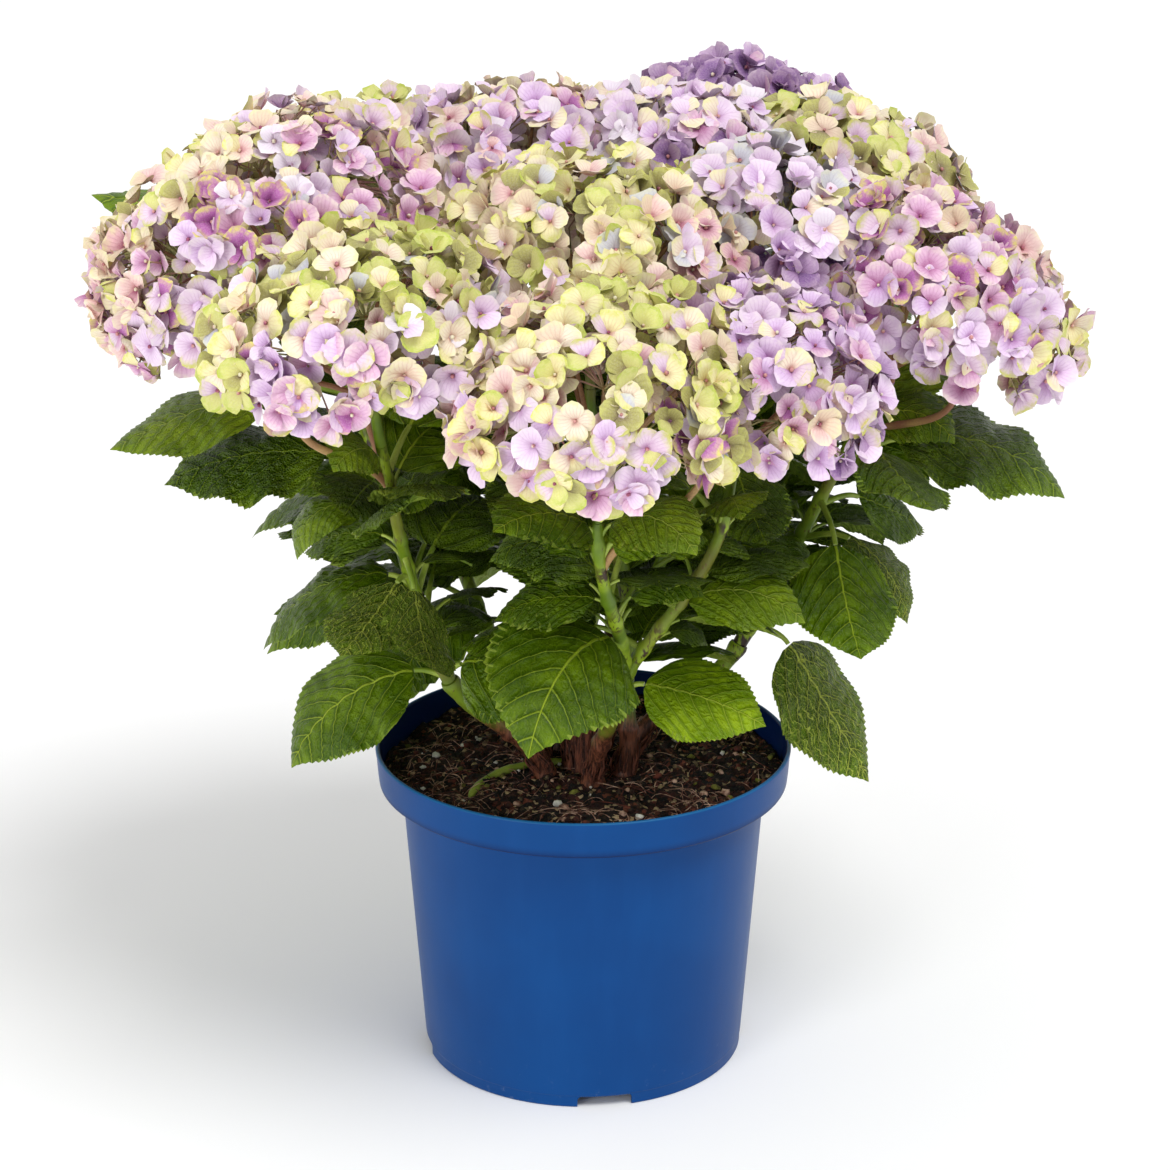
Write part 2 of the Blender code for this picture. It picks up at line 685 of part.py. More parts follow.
def floret_shape(bloom, direction, reach, root, radius, spin):
    """Four blunt sepals round a cup, on a stalk that runs down to its root in the core."""
    place = bloom_point(bloom, direction, reach)
    normal = Vector(d / s for d, s in zip(direction, bloom.size)).normalized()
    normal = bloom.turn @ normal
    side = normal.orthogonal().normalized()
    over = normal.cross(side)
    outline = []
    for quarter in range(4):
        for turn, spread, lift in ((-0.24, 1.0, 1.0), (0.24, 1.0, 1.0), (0.5, FLORET_NOTCH, 0.2)):
            angle = spin + math.tau * (quarter + turn) / 4
            away = (side * math.cos(angle) + over * math.sin(angle)) * spread * radius
            outline.append(place + away + normal * FLORET_CUP * lift)
    count = len(outline)
    points = outline + [place - normal * FLORET_CUP * 0.3, bloom_point(bloom, direction, root)]
    faces = [[i, (i + 1) % count, count] for i in range(count)]
    faces += [[(i + 1) % count, i, count + 1] for i in range(count)]
    return points, faces


def make_bloom(bloom, others, paint):
    """One mophead: stalk, core and the florets that stand out of it."""
    rng = random.Random(f"{SEED} {bloom.name}")
    shapes = [core_shape(bloom, others, rng), stalk_shape(bloom)]
    area = bloom.size.x * bloom.size.x * math.tau * (1 - math.cos(FLORET_SPREAD)) * 0.72
    full = math.sqrt(area / FLORETS) * 0.53
    for direction in floret_directions(FLORETS, FLORET_SPREAD, rng, 0.1):
        spin = rng.uniform(0, math.tau / 4)
        surface = core_reach(bloom, others, direction)
        for inward, scale in ((0, 1), (0, 0.8), (0.1, 0.8), (0, 0.6), (0.1, 0.6), (0.2, 0.6), (0.3, 0.6)):
            reach = max(FLORET_REACH - inward, surface + 0.08)
            shape = floret_shape(bloom, direction, reach, surface * 0.72, full * scale, spin)
            if all(in_own_cell(bloom, others, p) for p in shape[0][:-1]):
                shapes.append(shape)
                break
    return fuse("bloom_" + bloom.name, shapes, paint)


def make_plant():
    clear_scene()
    blue = material("blue_plastic", (0.035, 0.125, 0.42), 0.38)
    earth = material("compost", (0.035, 0.022, 0.014), 0.95)
    bark = material("old_bark", (0.20, 0.10, 0.055), 0.9)
    stem = material("green_stem", (0.24, 0.34, 0.06), 0.55)
    leaf_green = material("leaf", (0.055, 0.16, 0.025), 0.42)
    petals = material("sepals", (0.72, 0.58, 0.66), 0.6)

    make_pot(blue)
    make_soil(earth)
    make_old_wood(bark)
    blooms = plan_blooms()
    canes = plan_canes(blooms)
    obstacles = [("", tree_of(shape(b))) for b in blooms.values() for shape in (bloom_space, stalk_shape)]
    around_pot = [(0, 0), (0.0905, 0), (0.1025, 0.157), (0.117, 0.158), (0.117, 0.182), (0.108, 0.182)]
    around_pot += [(0.108, SOIL_TOP + 0.004), (0, SOIL_TOP + 0.004)]
    obstacles.append(("", tree_of(turned(around_pot, 40))))
    limbs = {}
    for cane in canes.values():
        limbs["cane_" + cane.name] = cane_rings(cane)
        obstacles.append(("", tree_of(loft(limbs["cane_" + cane.name]))))
        for number, shoot in enumerate(cane.shoots):
            rings = shoot_rings(shoot, number)
            limbs[f"shoot_{cane.name}_{number}"] = rings
            obstacles.append((cane.name, tree_of(loft(rings))))
    leaves = plan_leaves(canes, obstacles)
    for cane in canes.values():
        smooth(add_object("cane_" + cane.name, *loft(limbs["cane_" + cane.name]), stem))
        shapes = [loft(limbs[f"shoot_{cane.name}_{n}"]) for n in range(len(cane.shoots))]
        shapes += [loft(*leaf_rings(leaf)) for leaf in leaves[cane.name]]
        fuse("foliage_" + cane.name, shapes, leaf_green)
    for bloom in blooms.values():
        make_bloom(bloom, [b for b in blooms.values() if b is not bloom], petals)


make_plant()
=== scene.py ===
"""The looks of a potted bigleaf hydrangea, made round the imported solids.

The source's rules for blooms, canes, shoots and leaves are written again here, so each fine leaf and
head lies where its solid does. Metres, +Z up, -Y is the front.
"""

import random
from math import cos, exp, hypot, pi, radians, sin, sqrt, tau
from types import SimpleNamespace

import bmesh
import bpy
import numpy as np
from mathutils import Matrix, Vector, noise
from mathutils.bvhtree import BVHTree


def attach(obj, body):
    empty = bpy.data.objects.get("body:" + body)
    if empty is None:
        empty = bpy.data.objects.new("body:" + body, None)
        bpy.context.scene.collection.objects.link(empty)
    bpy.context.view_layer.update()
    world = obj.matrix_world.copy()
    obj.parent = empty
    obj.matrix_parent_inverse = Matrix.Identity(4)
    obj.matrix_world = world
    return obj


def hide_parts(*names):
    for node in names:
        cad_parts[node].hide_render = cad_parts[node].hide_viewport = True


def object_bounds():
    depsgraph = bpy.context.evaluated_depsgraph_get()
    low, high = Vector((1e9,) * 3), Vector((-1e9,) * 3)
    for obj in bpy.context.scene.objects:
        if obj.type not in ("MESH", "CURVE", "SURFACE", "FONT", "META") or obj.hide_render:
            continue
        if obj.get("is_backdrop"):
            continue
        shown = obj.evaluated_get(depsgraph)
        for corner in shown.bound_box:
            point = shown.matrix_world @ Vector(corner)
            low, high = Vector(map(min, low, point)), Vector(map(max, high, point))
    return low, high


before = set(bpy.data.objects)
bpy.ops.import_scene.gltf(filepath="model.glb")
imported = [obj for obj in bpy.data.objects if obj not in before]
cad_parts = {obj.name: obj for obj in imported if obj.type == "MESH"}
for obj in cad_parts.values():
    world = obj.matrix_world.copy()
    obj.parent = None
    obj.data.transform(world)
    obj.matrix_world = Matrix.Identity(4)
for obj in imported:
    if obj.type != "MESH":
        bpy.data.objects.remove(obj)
cad_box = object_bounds()

UP = Vector((0, 0, 1))
EAST = Vector((1, 0, 0))
CLEAR = 0.0003  # between pieces that rest on each other
SEED = 23
GOLDEN_ANGLE = pi * (3 - sqrt(5))

# The source's values for the pot and compost
POT_HEIGHT = 0.180
POT_RIM_RADIUS = 0.115
POT_COLLAR_HEIGHT = 0.0215
POT_COLLAR_RADIUS = 0.1132
POT_NECK_RADIUS = 0.1008
POT_FOOT_RADIUS = 0.089
POT_WALL = 0.0017
POT_FLOOR = 0.0090
POT_RECESS = 0.0072
POT_FOOT_RING = 0.0026
POT_PAD_RADIUS = 0.016
POT_SIDES = 160
POT_BLUE = (0.0, 0.262, 0.515)
POT_BLUE_DEEP = (0.0, 0.24, 0.485)
FOOT_STEP_HEIGHT = 0.0075
NOTCH_WIDTH = 0.030
NOTCH_HEIGHT = 0.0064
NOTCH_COUNT = 4
NOTCH_TURN = radians(7.7)
DRAIN_COUNT = 4
DRAIN_RADIUS = 0.006
DRAIN_REACH = 0.056
COLLAR_FOOT = POT_HEIGHT - POT_COLLAR_HEIGHT
WALL_SLOPE = (POT_NECK_RADIUS - POT_FOOT_RADIUS) / COLLAR_FOOT
SOIL_TOP = 0.1655
SOIL_ROUGHNESS = 0.0022
SOIL_FLAT_RADIUS = 0.040
POT_ROOM = [(0, 0), (0.0905, 0), (0.1025, 0.157), (0.117, 0.158), (0.117, 0.182), (0.108, 0.182)]
POT_ROOM += [(0.108, SOIL_TOP + 0.004), (0, SOIL_TOP + 0.004)]  # leaves keep out of it: radius and height

# The source's values for the wood, canes and shoots
OLD_WOOD_HEIGHT = 0.034
OLD_WOOD_RADIUS = 0.0105
CLUMP_RADIUS = 0.0250
CANE_FOOT_RADIUS = 0.0056
CANE_RADIUS = 0.0044
CANE_SIDES = 8
FORK_HEIGHT = 0.230
SHOOT_RADIUS = 0.0040
SHOOT_TIP_RADIUS = 0.0029
SHOOT_SIDES = 6
BRANCH_START = 0.011

# The source's blooms: middle of the ellipsoid, half its width and half its height
BLOOMS = {
    "left": ((-0.167, -0.004, 0.462), 0.102, 0.067),
    "front_left": ((-0.110, -0.134, 0.452), 0.080, 0.045),
    "front": ((0.008, -0.170, 0.428), 0.080, 0.050),
    "front_right": ((0.082, -0.122, 0.422), 0.072, 0.050),
    "right": ((0.181, -0.014, 0.438), 0.086, 0.052),
    "centre": ((0.004, -0.044, 0.466), 0.086, 0.052),
    "centre_right": ((0.100, 0.000, 0.464), 0.078, 0.050),
    "back_left": ((-0.040, 0.082, 0.478), 0.088, 0.054),
    "back": ((0.056, 0.078, 0.482), 0.080, 0.050),
    "back_right": ((0.140, 0.088, 0.468), 0.082, 0.053),
    "far_right": ((0.096, 0.180, 0.472), 0.080, 0.051),
    "rear": ((-0.012, 0.190, 0.442), 0.086, 0.054),
    "rear_left": ((-0.134, 0.126, 0.454), 0.092, 0.056),
}
BLOOM_LEAN = 2.6
BLOOM_TILTS = {"left": 1.2, "right": 1.0, "centre": 0.5, "front": 0.5, "front_left": 0.5, "front_right": 0.6}
PEDUNCLE = 0.020
HUB_DEPTH = 0.98

# The source's canes: the blooms that each one carries, its place round the clump and its fork's reach
CANES = {
    "left": (("left", "front_left"), 212, 0.52),
    "front": (("front", "front_right"), 282, 0.42),
    "centre": (("centre", "centre_right"), 332, 0.46),
    "right": (("right", "back_right"), 18, 0.54),
    "rear": (("rear", "far_right"), 66, 0.42),
    "back": (("back", "back_left"), 114, 0.42),
    "rear_left": (("rear_left",), 162, 0.42),
}

# The source's shown leaves: cane, shoot, share up it, heading, length, start and end pitch, roll, stalk
SHOWN_LEAVES = (
    ("front", 0, 0.29, 240, 0.105, 25, -70, -30, 0.010),
    ("left", 0, 0.01, 190, 0.090, -5, -70, -25, 0.015),
    ("front", 0, 0.04, 340, 0.070, 0, -25, 30, 0.010),
    ("right", 1, 0.01, 340, 0.090, -55, -60, 15, 0.020),
    ("left", 0, 0.02, 320, 0.085, 25, -30, 40, 0.010),
    ("centre", 0, 0.24, 350, 0.110, 25, -70, 5, 0.035),
    ("right", 0, 0.76, 350, 0.100, 15, -50, 15, 0.035),
    ("left", 0, 0.97, 190, 0.090, -15, -25, -10, 0.040),
    ("left", 0, 0.68, 185, 0.090, 10, -30, -20, 0.030),
    ("right", 0, 0.46, 320, 0.060, -10, -80, -5, 0.030),
    ("right", 0, 0.64, 280, 0.075, -50, -20, -5, 0.035),
    ("left", 1, 0.40, 180, 0.085, 5, -70, -5, 0.010),
    ("left", 1, 0.46, 245, 0.065, -25, -10, -5, 0.010),
    ("front", 0, 0.78, 185, 0.055, 60, -10, -20, 0.010),
    ("front", 0, 0.65, 175, 0.065, 60, -50, -20, 0.010),
    ("front", 0, 0.85, 325, 0.055, 45, -10, 35, 0.010),
    ("left", 0, 0.84, 45, 0.060, -20, 0, 35, 0.010),
    ("left", 0, 0.66, 305, 0.060, 20, 0, 40, 0.010),
    ("left", 1, 0.56, 285, 0.060, -60, 5, -35, 0.020),
    ("centre", 0, 0.06, 5, 0.070, 20, 5, 20, 0.020),
    ("centre", 1, 0.74, 285, 0.060, -35, -15, 5, 0.030),
    ("right", 1, 0.80, 340, 0.075, -20, -30, 20, 0.040),
    ("right", 0, 0.89, 290, 0.070, -15, -5, -15, 0.030),
    ("right", 0, 0.61, 35, 0.055, -25, -35, 40, 0.025),
    ("left", 0, 0.49, 200, 0.055, 30, -100, -5, 0.025),
    ("centre", 0, 0.61, 235, 0.065, 5, -5, -25, 0.035),
    ("left", 0, 0.64, 260, 0.065, 10, -5, -25, 0.030),
)
SHOWN_LOOKS = "013402252400412111422120522"
LOW_PAIR = (0.06, 0.112, 14, -60)
SHOOT_PAIRS = (
    (0.20, 0.075, 10, -40),
    (0.49, 0.070, 15, -40),
    (0.34, 0.110, 24, -52),
    (0.64, 0.104, 30, -44),
    (0.90, 0.082, 30, -34),
)
BEHIND = 0.2
LEAF_WIDTH = 0.76
LEAF_THICKNESS = 0.021
LEAF_DROOP = 0.16
LEAF_BASE_POWER, LEAF_TIP_POWER = 0.58, 0.95
PETIOLE = 0.022
PETIOLE_RADIUS = 0.0016
PETIOLE_RISE = 20
PETIOLE_FALL = -40
LEAF_LIGHT = 0.62
LEAF_STATIONS = (0.10, 0.38, 0.72)
LEAF_GAP = 0.0011
LEAF_TRIES = 9

# Florets
FLORETS_EACH = 212  # on a bloom 86 mm in half width, and more or fewer with its area
FLORET_SPREAD = radians(114)
FLORET_LIGHT = Vector((0, -0.30, 0.16))  # how far florets turn to the side that grew to the light
SEPAL_LENGTH = 0.0102
SEPAL_WIDTH = 0.665  # half of it, as a share of its length
SEPAL_GRIDS = (5, 4)  # points each way over a sepal of an outer floret, and of an inner one
INNER_SHARE = 0.55  # inner florets for each outer one
BUD_RADIUS = 0.0010
FLORET_LEAST, FLORET_ROOM = 0.45, 0.10  # the least reach of one, and the room it keeps from other heads
PEDICEL_RADIUS = 0.00055
RAYS = 13  # main stalks inside each head
RAY_RADIUS, RAY_TAPER = 0.0017, 0.0007
SIDE_STALK_RADIUS, SIDE_STALK_TAPER = 0.0024, 0.0008
SIDE_STALKS = (  # cane, shoot, share up it, the bloom it goes to and the way out to there in its own axes
    ("front", 0, 0.80, "front_right", (-0.30, -0.62, -0.56)),
    ("left", 1, 0.78, "left", (0.42, -0.62, -0.50)),
    ("left", 1, 0.86, "front_left", (-0.55, -0.45, -0.55)),
    ("right", 0, 0.88, "right", (-0.62, -0.48, -0.45)),
    ("right", 0, 0.90, "right", (-0.20, -0.75, -0.45)),
    ("right", 0, 0.86, "right", (0.35, -0.70, -0.50)),
)
SEPAL_TILES = (8, 8)  # across and along the sepals' map

# Fine leaves
FINE_SHARES = (0, 0.02, 0.06, 0.12, 0.20, 0.30, 0.41, 0.52, 0.62, 0.71, 0.79, 0.86, 0.915, 0.955, 0.98, 1)
FINE_WIDTHS = (0.04, 0.26, 0.50, 0.71, 0.88, 0.985, 1.02, 0.98, 0.89, 0.75, 0.57, 0.38, 0.215, 0.10, 0.04, 0)
LEAF_TEETH = 28
LEAF_COLUMNS = (0, 0.05, 0.23, 0.43, 0.63, 0.83, 1)
YOUNG_TEETH = 15
YOUNG_COLUMNS = (0, 0.07, 0.36, 0.72, 1)
YOUNG_SHARES = (0.10, 0.20, 0.28, 0.44, 0.52, 0.60, 0.72, 0.80)
YOUNG_LENGTHS = (0.045, 0.085)
YOUNG_TRIES = 12
YOUNG_GAP = 0.0004
YOUNG_LOOKS = (0, 1, 1, 2, 5)
GROWN_LOOKS = (0, 0, 1, 1, 2, 2, 4, 5)
OPEN_CANES = ("left", "front", "centre", "right")  # their young leaves keep off the front
TIP_LEAVES = (
    ("right", 1, 0.94, 25, 0.090, 15, 25, 15, 0.045),
    ("rear_left", 0, 0.92, 178, 0.112, 30, 7, -10, 0.078),
    ("front", 0, 0.94, 220, 0.065, 40, -20, -20, 0.005),
    ("front", 0, 0.93, 320, 0.060, 40, -50, 20, 0.010),
    ("left", 1, 0.83, 60, 0.065, 45, -30, 25, 0.010),
    ("left", 1, 0.90, 235, 0.040, 50, -45, -35, 0.010),
    ("left", 1, 0.72, 295, 0.065, 50, -15, -5, 0.010),
    ("left", 1, 0.69, 265, 0.060, 40, -15, 35, 0.010),
    ("right", 0, 0.72, 15, 0.080, 35, -10, 35, 0.010),
    ("right", 0, 0.90, 340, 0.055, 40, -60, 25, 0.010),
    ("front", 1, 0.85, 280, 0.050, 55, -30, 15, 0.015),
    ("front", 0, 0.60, 175, 0.055, 10, -40, -20, 0.005),
    ("front", 0, 0.35, 145, 0.065, 20, -50, -25, 0.015),
)
TIP_LOOKS = "1115152201502"
LEAF_VEINS = 8
VEIN_SLANT, VEIN_CURVE = 0.58, 1.9
LEAF_PILLOW = 0.0168
LEAF_MAP_SPAN = 0.74  # of its length, that the map's width covers
LEAF_TILES = (2, 4)  # across and along the leaves' map

# The compost's mesh, and its clods: how many to a metre, and how high
COMPOST_ROWS, COMPOST_SIDES = 84, 200
CLODS = ((105, 0.0024), (260, 0.0018), (640, 0.0009))

# Things on the compost: loose bits, a fallen stalk's middle line and half thickness, the largest white grains
CRUMBS, FIBRES, SCRAPS, GRAINS = 850, 680, 120, 30
FIBRE_CLUMPS = 26
CLUMP_SPREAD = 0.0065
CLUMPED_SHARE = 0.6
FALLEN_STALK = ((-0.062, -0.040), (-0.054, -0.016), (-0.036, 0.000), (-0.004, 0.004))
FALLEN_RADIUS = 0.0022
PERLITE = ((0.052, 0.034), (-0.014, -0.052), (-0.047, -0.068), (-0.082, 0.008), (0.030, -0.072))

# The old wood's mesh, the splinters round it and the strips round each cane's foot
BARK_ROWS, BARK_SIDES = 44, 96
SPLINTERS, STRIPS = 46, 30

# Camera, fitted to the pot's rim and foot in the photograph
CAMERA_PLACE = (0.001, -1.789, 0.913)
CAMERA_PITCH = 70.28
CAMERA_LENS = 107.3

# Floor and lights: a soft fill from the left, a broad key from above, and the sky
FLOOR_REACH = 9.0
FILL_PLACE = (-1.5, -2.1, 0.75)
FILL_AIM = Vector((0, 0, 0.32))
FILL_SIZE, FILL_POWER, FILL_COLOUR = 0.9, 19, (1.0, 1.0, 0.98)
KEY_WAY = Vector((0.36, -0.44, 1.0))
KEY_SPREAD, KEY_POWER = radians(27), 1.56
SKY_POWER = 0.69


# The source's plan of the plant


def level(vector):
    """The part of a vector that lies along the ground."""
    return Vector((vector.x, vector.y, 0))


def rotation(angle):
    return Matrix.Rotation(angle, 3, "Z")


def way_to(angle, rise=0.0):
    return Vector((cos(angle), sin(angle), rise))


def ring(radius, height, sides, turn=0.0):
    """Points round the Z axis. turn is in steps from one to the next."""
    angles = [tau * (i + turn) / sides for i in range(sides)]
    return [(radius * cos(angle), radius * sin(angle), height) for angle in angles]


def plan_blooms():
    """Each bloom's place, axis, size and hub, by name."""
    blooms = {}
    for name, (middle, across, tall) in BLOOMS.items():
        middle = Vector(middle)
        axis = (UP + level(middle) * BLOOM_LEAN * BLOOM_TILTS.get(name, 0.85)).normalized()
        bloom = SimpleNamespace(name=name, middle=middle, axis=axis, size=Vector((across, across, tall)))
        bloom.turn = UP.rotation_difference(axis).to_matrix()
        bloom.hub = middle - axis * tall * HUB_DEPTH
        bloom.tip = middle - axis * (tall * HUB_DEPTH + PEDUNCLE)
        blooms[name] = bloom
    for bloom in blooms.values():
        bloom.others = [other for other in blooms.values() if other is not bloom]
    return blooms


def bloom_point(bloom, direction, share=1.0):
    """The point that a unit direction in the bloom's own axes reaches on its ellipsoid."""
    stretched = Vector(d * s for d, s in zip(direction, bloom.size))
    return bloom.middle + bloom.turn @ stretched * share


def bloom_level(bloom, point):
    """Squared distance from the bloom's middle, 1 on its ellipsoid."""
    own = bloom.turn.transposed() @ (point - bloom.middle)
    return sum((x / s) ** 2 for x, s in zip(own, bloom.size))


def reach_in_cell(bloom, direction, share, least, step, margin):
    """The share, drawn in by steps until its point is the bloom's own, or until it is least or less."""
    while share > least:
        point = bloom_point(bloom, direction, share)
        depth = bloom_level(bloom, point) + margin
        if all(depth < bloom_level(other, point) for other in bloom.others):
            break
        share -= step
    return share


def curve_between(start, start_way, end, end_way, pull=0.36):
    """The four control points of a cubic curve."""
    reach = (end - start).length * pull
    return start, start + start_way * reach, end - end_way * reach, end


def place_at(curve, t):
    u = 1 - t
    a, b, c, d = curve
    return a * u**3 + b * 3 * u * u * t + c * 3 * u * t * t + d * t**3


def way_at(curve, t):
    u = 1 - t
    a, b, c, d = curve
    return ((b - a) * u * u + (c - b) * 2 * u * t + (d - c) * t * t).normalized()


def plan_canes(blooms):
    """Each cane's curve from the ground to its fork, and the curve of each shoot on to its bloom."""
    canes = {}
    for name, (carried, foot_turn, reach) in CANES.items():
        tips = [blooms[b] for b in carried]
        flat = level(sum((b.middle for b in tips), Vector()) / len(tips))
        place = rotation(radians(foot_turn)) @ Vector((CLUMP_RADIUS, 0, 0))
        foot = place + UP * (SOIL_TOP + CLEAR)
        fork = flat * reach + UP * FORK_HEIGHT
        start_way = (UP + place.normalized() * 0.3).normalized()
        onward = (sum((b.tip for b in tips), Vector()) / len(tips) - fork).normalized()
        fork_way = ((fork - foot).normalized() + onward * 1.3).normalized()
        shoots = []
        for bloom in tips:
            start = fork + fork_way * CLEAR
            way = fork_way
            if shoots:
                start = place_at(shoots[0].curve, BRANCH_START / (fork - tips[0].tip).length)
                way = (fork_way * 0.35 + (bloom.tip - start).normalized()).normalized()
            curve = curve_between(start, way, bloom.tip, bloom.axis)
            shoots.append(SimpleNamespace(curve=curve, bloom=bloom))
        cane = curve_between(foot, start_way, fork, fork_way)
        canes[name] = SimpleNamespace(name=name, curve=cane, shoots=shoots, outward=flat.normalized())
    return canes


def leaf_half_width(leaf, t):
    peak = LEAF_BASE_POWER / (LEAF_BASE_POWER + LEAF_TIP_POWER)
    most = peak**LEAF_BASE_POWER * (1 - peak) ** LEAF_TIP_POWER
    shape = t**LEAF_BASE_POWER * (1 - t) ** LEAF_TIP_POWER / most
    return leaf.length * LEAF_WIDTH / 2 * shape


def leaf_frame(leaf, t):
    """Place on the midrib, side way and up way at share t of the blade."""
    first, bend = leaf.pitch[0], leaf.pitch[1] - leaf.pitch[0]
    pitch = first + bend * t
    along = (sin(pitch) - sin(first)) / bend
    rise = (cos(first) - cos(pitch)) / bend
    place = leaf.start + (leaf.heading * along + UP * rise) * leaf.length
    side = UP.cross(leaf.heading)
    up = UP * cos(pitch) - leaf.heading * sin(pitch)
    tilted = side * cos(leaf.roll) + up * sin(leaf.roll)
    return place, tilted, up * cos(leaf.roll) - side * sin(leaf.roll)


def leaf_rings(leaf, with_petiole=True, grow=0.0):
    """Rings of left, top, right and bottom points along the petiole and the blade, and the blade's tip."""
    rings = []
    if with_petiole:
        across = UP.cross(leaf.rise_way).normalized()
        over = leaf.rise_way.cross(across)
        place, side, up = leaf_frame(leaf, 0.0)
        for middle, x, y in ((leaf.root, across, over), (place, side, up)):
            rings.append([middle + w * (PETIOLE_RADIUS + grow) for w in (x, y, -x, -y)])
    for t in LEAF_STATIONS:
        place, side, up = leaf_frame(leaf, t)
        width = leaf_half_width(leaf, t) + grow
        lift = up * (leaf.length * LEAF_THICKNESS / 2 + grow)
        fall = up * width * LEAF_DROOP
        left, right = place + side * width - fall, place - side * width - fall
        rings.append([left, place + lift, right, place - lift])
    return rings, leaf_frame(leaf, 1.0)[0]


def loft(rings, tip=None):
    """Points and faces of rings joined in turn, closed by a point or a flat end."""
    count = len(rings[0])
    points = [p for each in rings for p in each]
    faces = []
    for base in range(0, (len(rings) - 1) * count, count):
        for i in range(count):
            j = (i + 1) % count
            faces.append([base + i, base + j, base + count + j, base + count + i])
    last = (len(rings) - 1) * count
    if tip is None:
        faces.append([last + i for i in range(count)])
    else:
        points.append(tip)
        faces += [[last + i, last + (i + 1) % count, len(points) - 1] for i in range(count)]
    return points, faces + [list(range(count))[::-1]]


def tree_of(shape):
    """A search tree over triangles: longer faces are split from their first corner."""
    points, faces = shape
    triangles = [(f[0], f[i], f[i + 1]) for f in faces for i in range(1, len(f) - 1)]
    return BVHTree.FromPolygons([tuple(p) for p in points], triangles)


def leaf_tree(leaf, **options):
    return tree_of(loft(*leaf_rings(leaf, **options)))


def new_leaf(place, heading, length, first, last, roll, stalk):
    """A leaf from a point inside its limb towards heading. The pitches and the roll are in degrees."""
    rise = radians(max(PETIOLE_FALL, PETIOLE_RISE + first * 0.8))
    leaf = SimpleNamespace(root=place, heading=heading, length=length, roll=radians(roll), look=None)
    leaf.rise_way = (heading * cos(rise) + UP * sin(rise)).normalized()
    leaf.start = place + leaf.rise_way * (SHOOT_RADIUS + stalk)
    leaf.pitch = radians(first), radians(last)
    return leaf


def finds_room(leaf, owner, taken, gap):
    """Whether the leaf's stalk touches only what its own mass owns, and its blade nothing. taken is
    pairs of an owner and a search tree, and a leaf that finds room joins it."""
    blade = leaf_tree(leaf, with_petiole=False, grow=gap)
    whole = leaf_tree(leaf, grow=gap)
    if any((blade if other == owner else whole).overlap(tree) for other, tree in taken):
        return False
    taken.append((owner, leaf_tree(leaf)))
    return True


def pair_headings(way, outward, turn):
    """Two opposite headings square to a stem, both drawn outwards to the light."""
    across = way.cross(UP) if way.cross(UP).length > 0.05 else outward.cross(UP)
    ways = [rotation(turn) @ (across.normalized() * side) + outward * LEAF_LIGHT for side in (1, -1)]
    return [level(way).normalized() for way in ways]


def plan_leaves(canes, obstacles):
    """The leaves that find room, mass by mass."""
    rng = random.Random(SEED)
    taken = list(obstacles)
    leaves = {name: [] for name in canes}

    def settle(cane, shoot, share, heading, swing, draw, look=None):
        """Tries headings near the one given. draw gives each try's length, pitches, roll and stalk."""
        for attempt in range(LEAF_TRIES):
            way = rotation(radians(rng.uniform(-swing, swing) * (0.2 + attempt))) @ heading
            length, *posture = draw()
            leaf = new_leaf(place_at(shoot.curve, share), way, length * (1 - 0.035 * attempt), *posture)
            if finds_room(leaf, cane.name, taken, LEAF_GAP):
                leaf.look = look
                leaves[cane.name].append(leaf)
                return

    def by_chance(length, first, last):
        def draw():
            tilts = first + rng.uniform(-12, 12), last + rng.uniform(-14, 14), rng.uniform(-14, 14)
            return length * rng.uniform(0.92, 1.08), *tilts, PETIOLE * rng.uniform(0.75, 1.3)

        return draw

    for (name, number, share, heading, *posture), look in zip(SHOWN_LEAVES, SHOWN_LOOKS):
        way = rotation(radians(heading)) @ EAST
        settle(canes[name], canes[name].shoots[number], share, way, 2, lambda: posture, int(look))
    shown = {entry[0] for entry in SHOWN_LEAVES if entry[2] <= LOW_PAIR[0]}
    for cane in canes.values():
        if cane.name not in shown:
            for heading in pair_headings(way_at(cane.curve, 1), cane.outward, 0):
                settle(cane, cane.shoots[0], LOW_PAIR[0], heading, 10, by_chance(*LOW_PAIR[1:]))
    for number, pair in reversed(list(enumerate(SHOOT_PAIRS))):
        for cane in canes.values():
            for order, shoot in enumerate(cane.shoots):
                outward = level(shoot.bloom.middle).normalized()
                turn = pi / 2 * ((number + order) % 2) + rng.uniform(-0.3, 0.3)
                for heading in pair_headings(way_at(shoot.curve, pair[0]), outward, turn):
                    if cane.name not in shown or heading.y >= BEHIND:
                        settle(cane, shoot, pair[0], heading, 10, by_chance(*pair[1:]))
    return leaves


def turned(profile, sides):
    """A closed profile of radius and height turned round Z. Points on the axis stay single."""
    points, rows, faces = [], [], []
    for radius, height in profile:
        count = sides if radius else 1
        rows.append([len(points) + i % count for i in range(sides)])
        points += ring(radius, height, count)
    for low, high in zip(rows, rows[1:]):
        for i in range(sides):
            j = (i + 1) % sides
            faces.append(list(dict.fromkeys([low[i], low[j], high[j], high[i]])))
    return points, faces


def tube_rings(curve, radius_at, sides, steps, level_start=False):
    """Rings round a curve, without twist. A level start is cut flat on the ground."""
    rings = []
    side = None
    for step in range(steps + 1):
        t = step / steps
        way = way_at(curve, t)
        side = (side - way * side.dot(way) if side else way.orthogonal()).normalized()
        over = way.cross(side)
        place, radius = place_at(curve, t), radius_at(t)
        rings.append([place + (side * x + over * y) * radius for x, y, _ in ring(1, 0, sides)])
    if level_start:
        rings[0] = [Vector((p.x, p.y, curve[0].z)) for p in rings[0]]
    return rings


def cane_radius(t):
    return CANE_RADIUS + (CANE_FOOT_RADIUS - CANE_RADIUS) * (1 - t) ** 3


def shoot_radius(number, t):
    thick = SHOOT_RADIUS * (0.86 if number else 1.0)
    return thick + (SHOOT_TIP_RADIUS - thick) * t


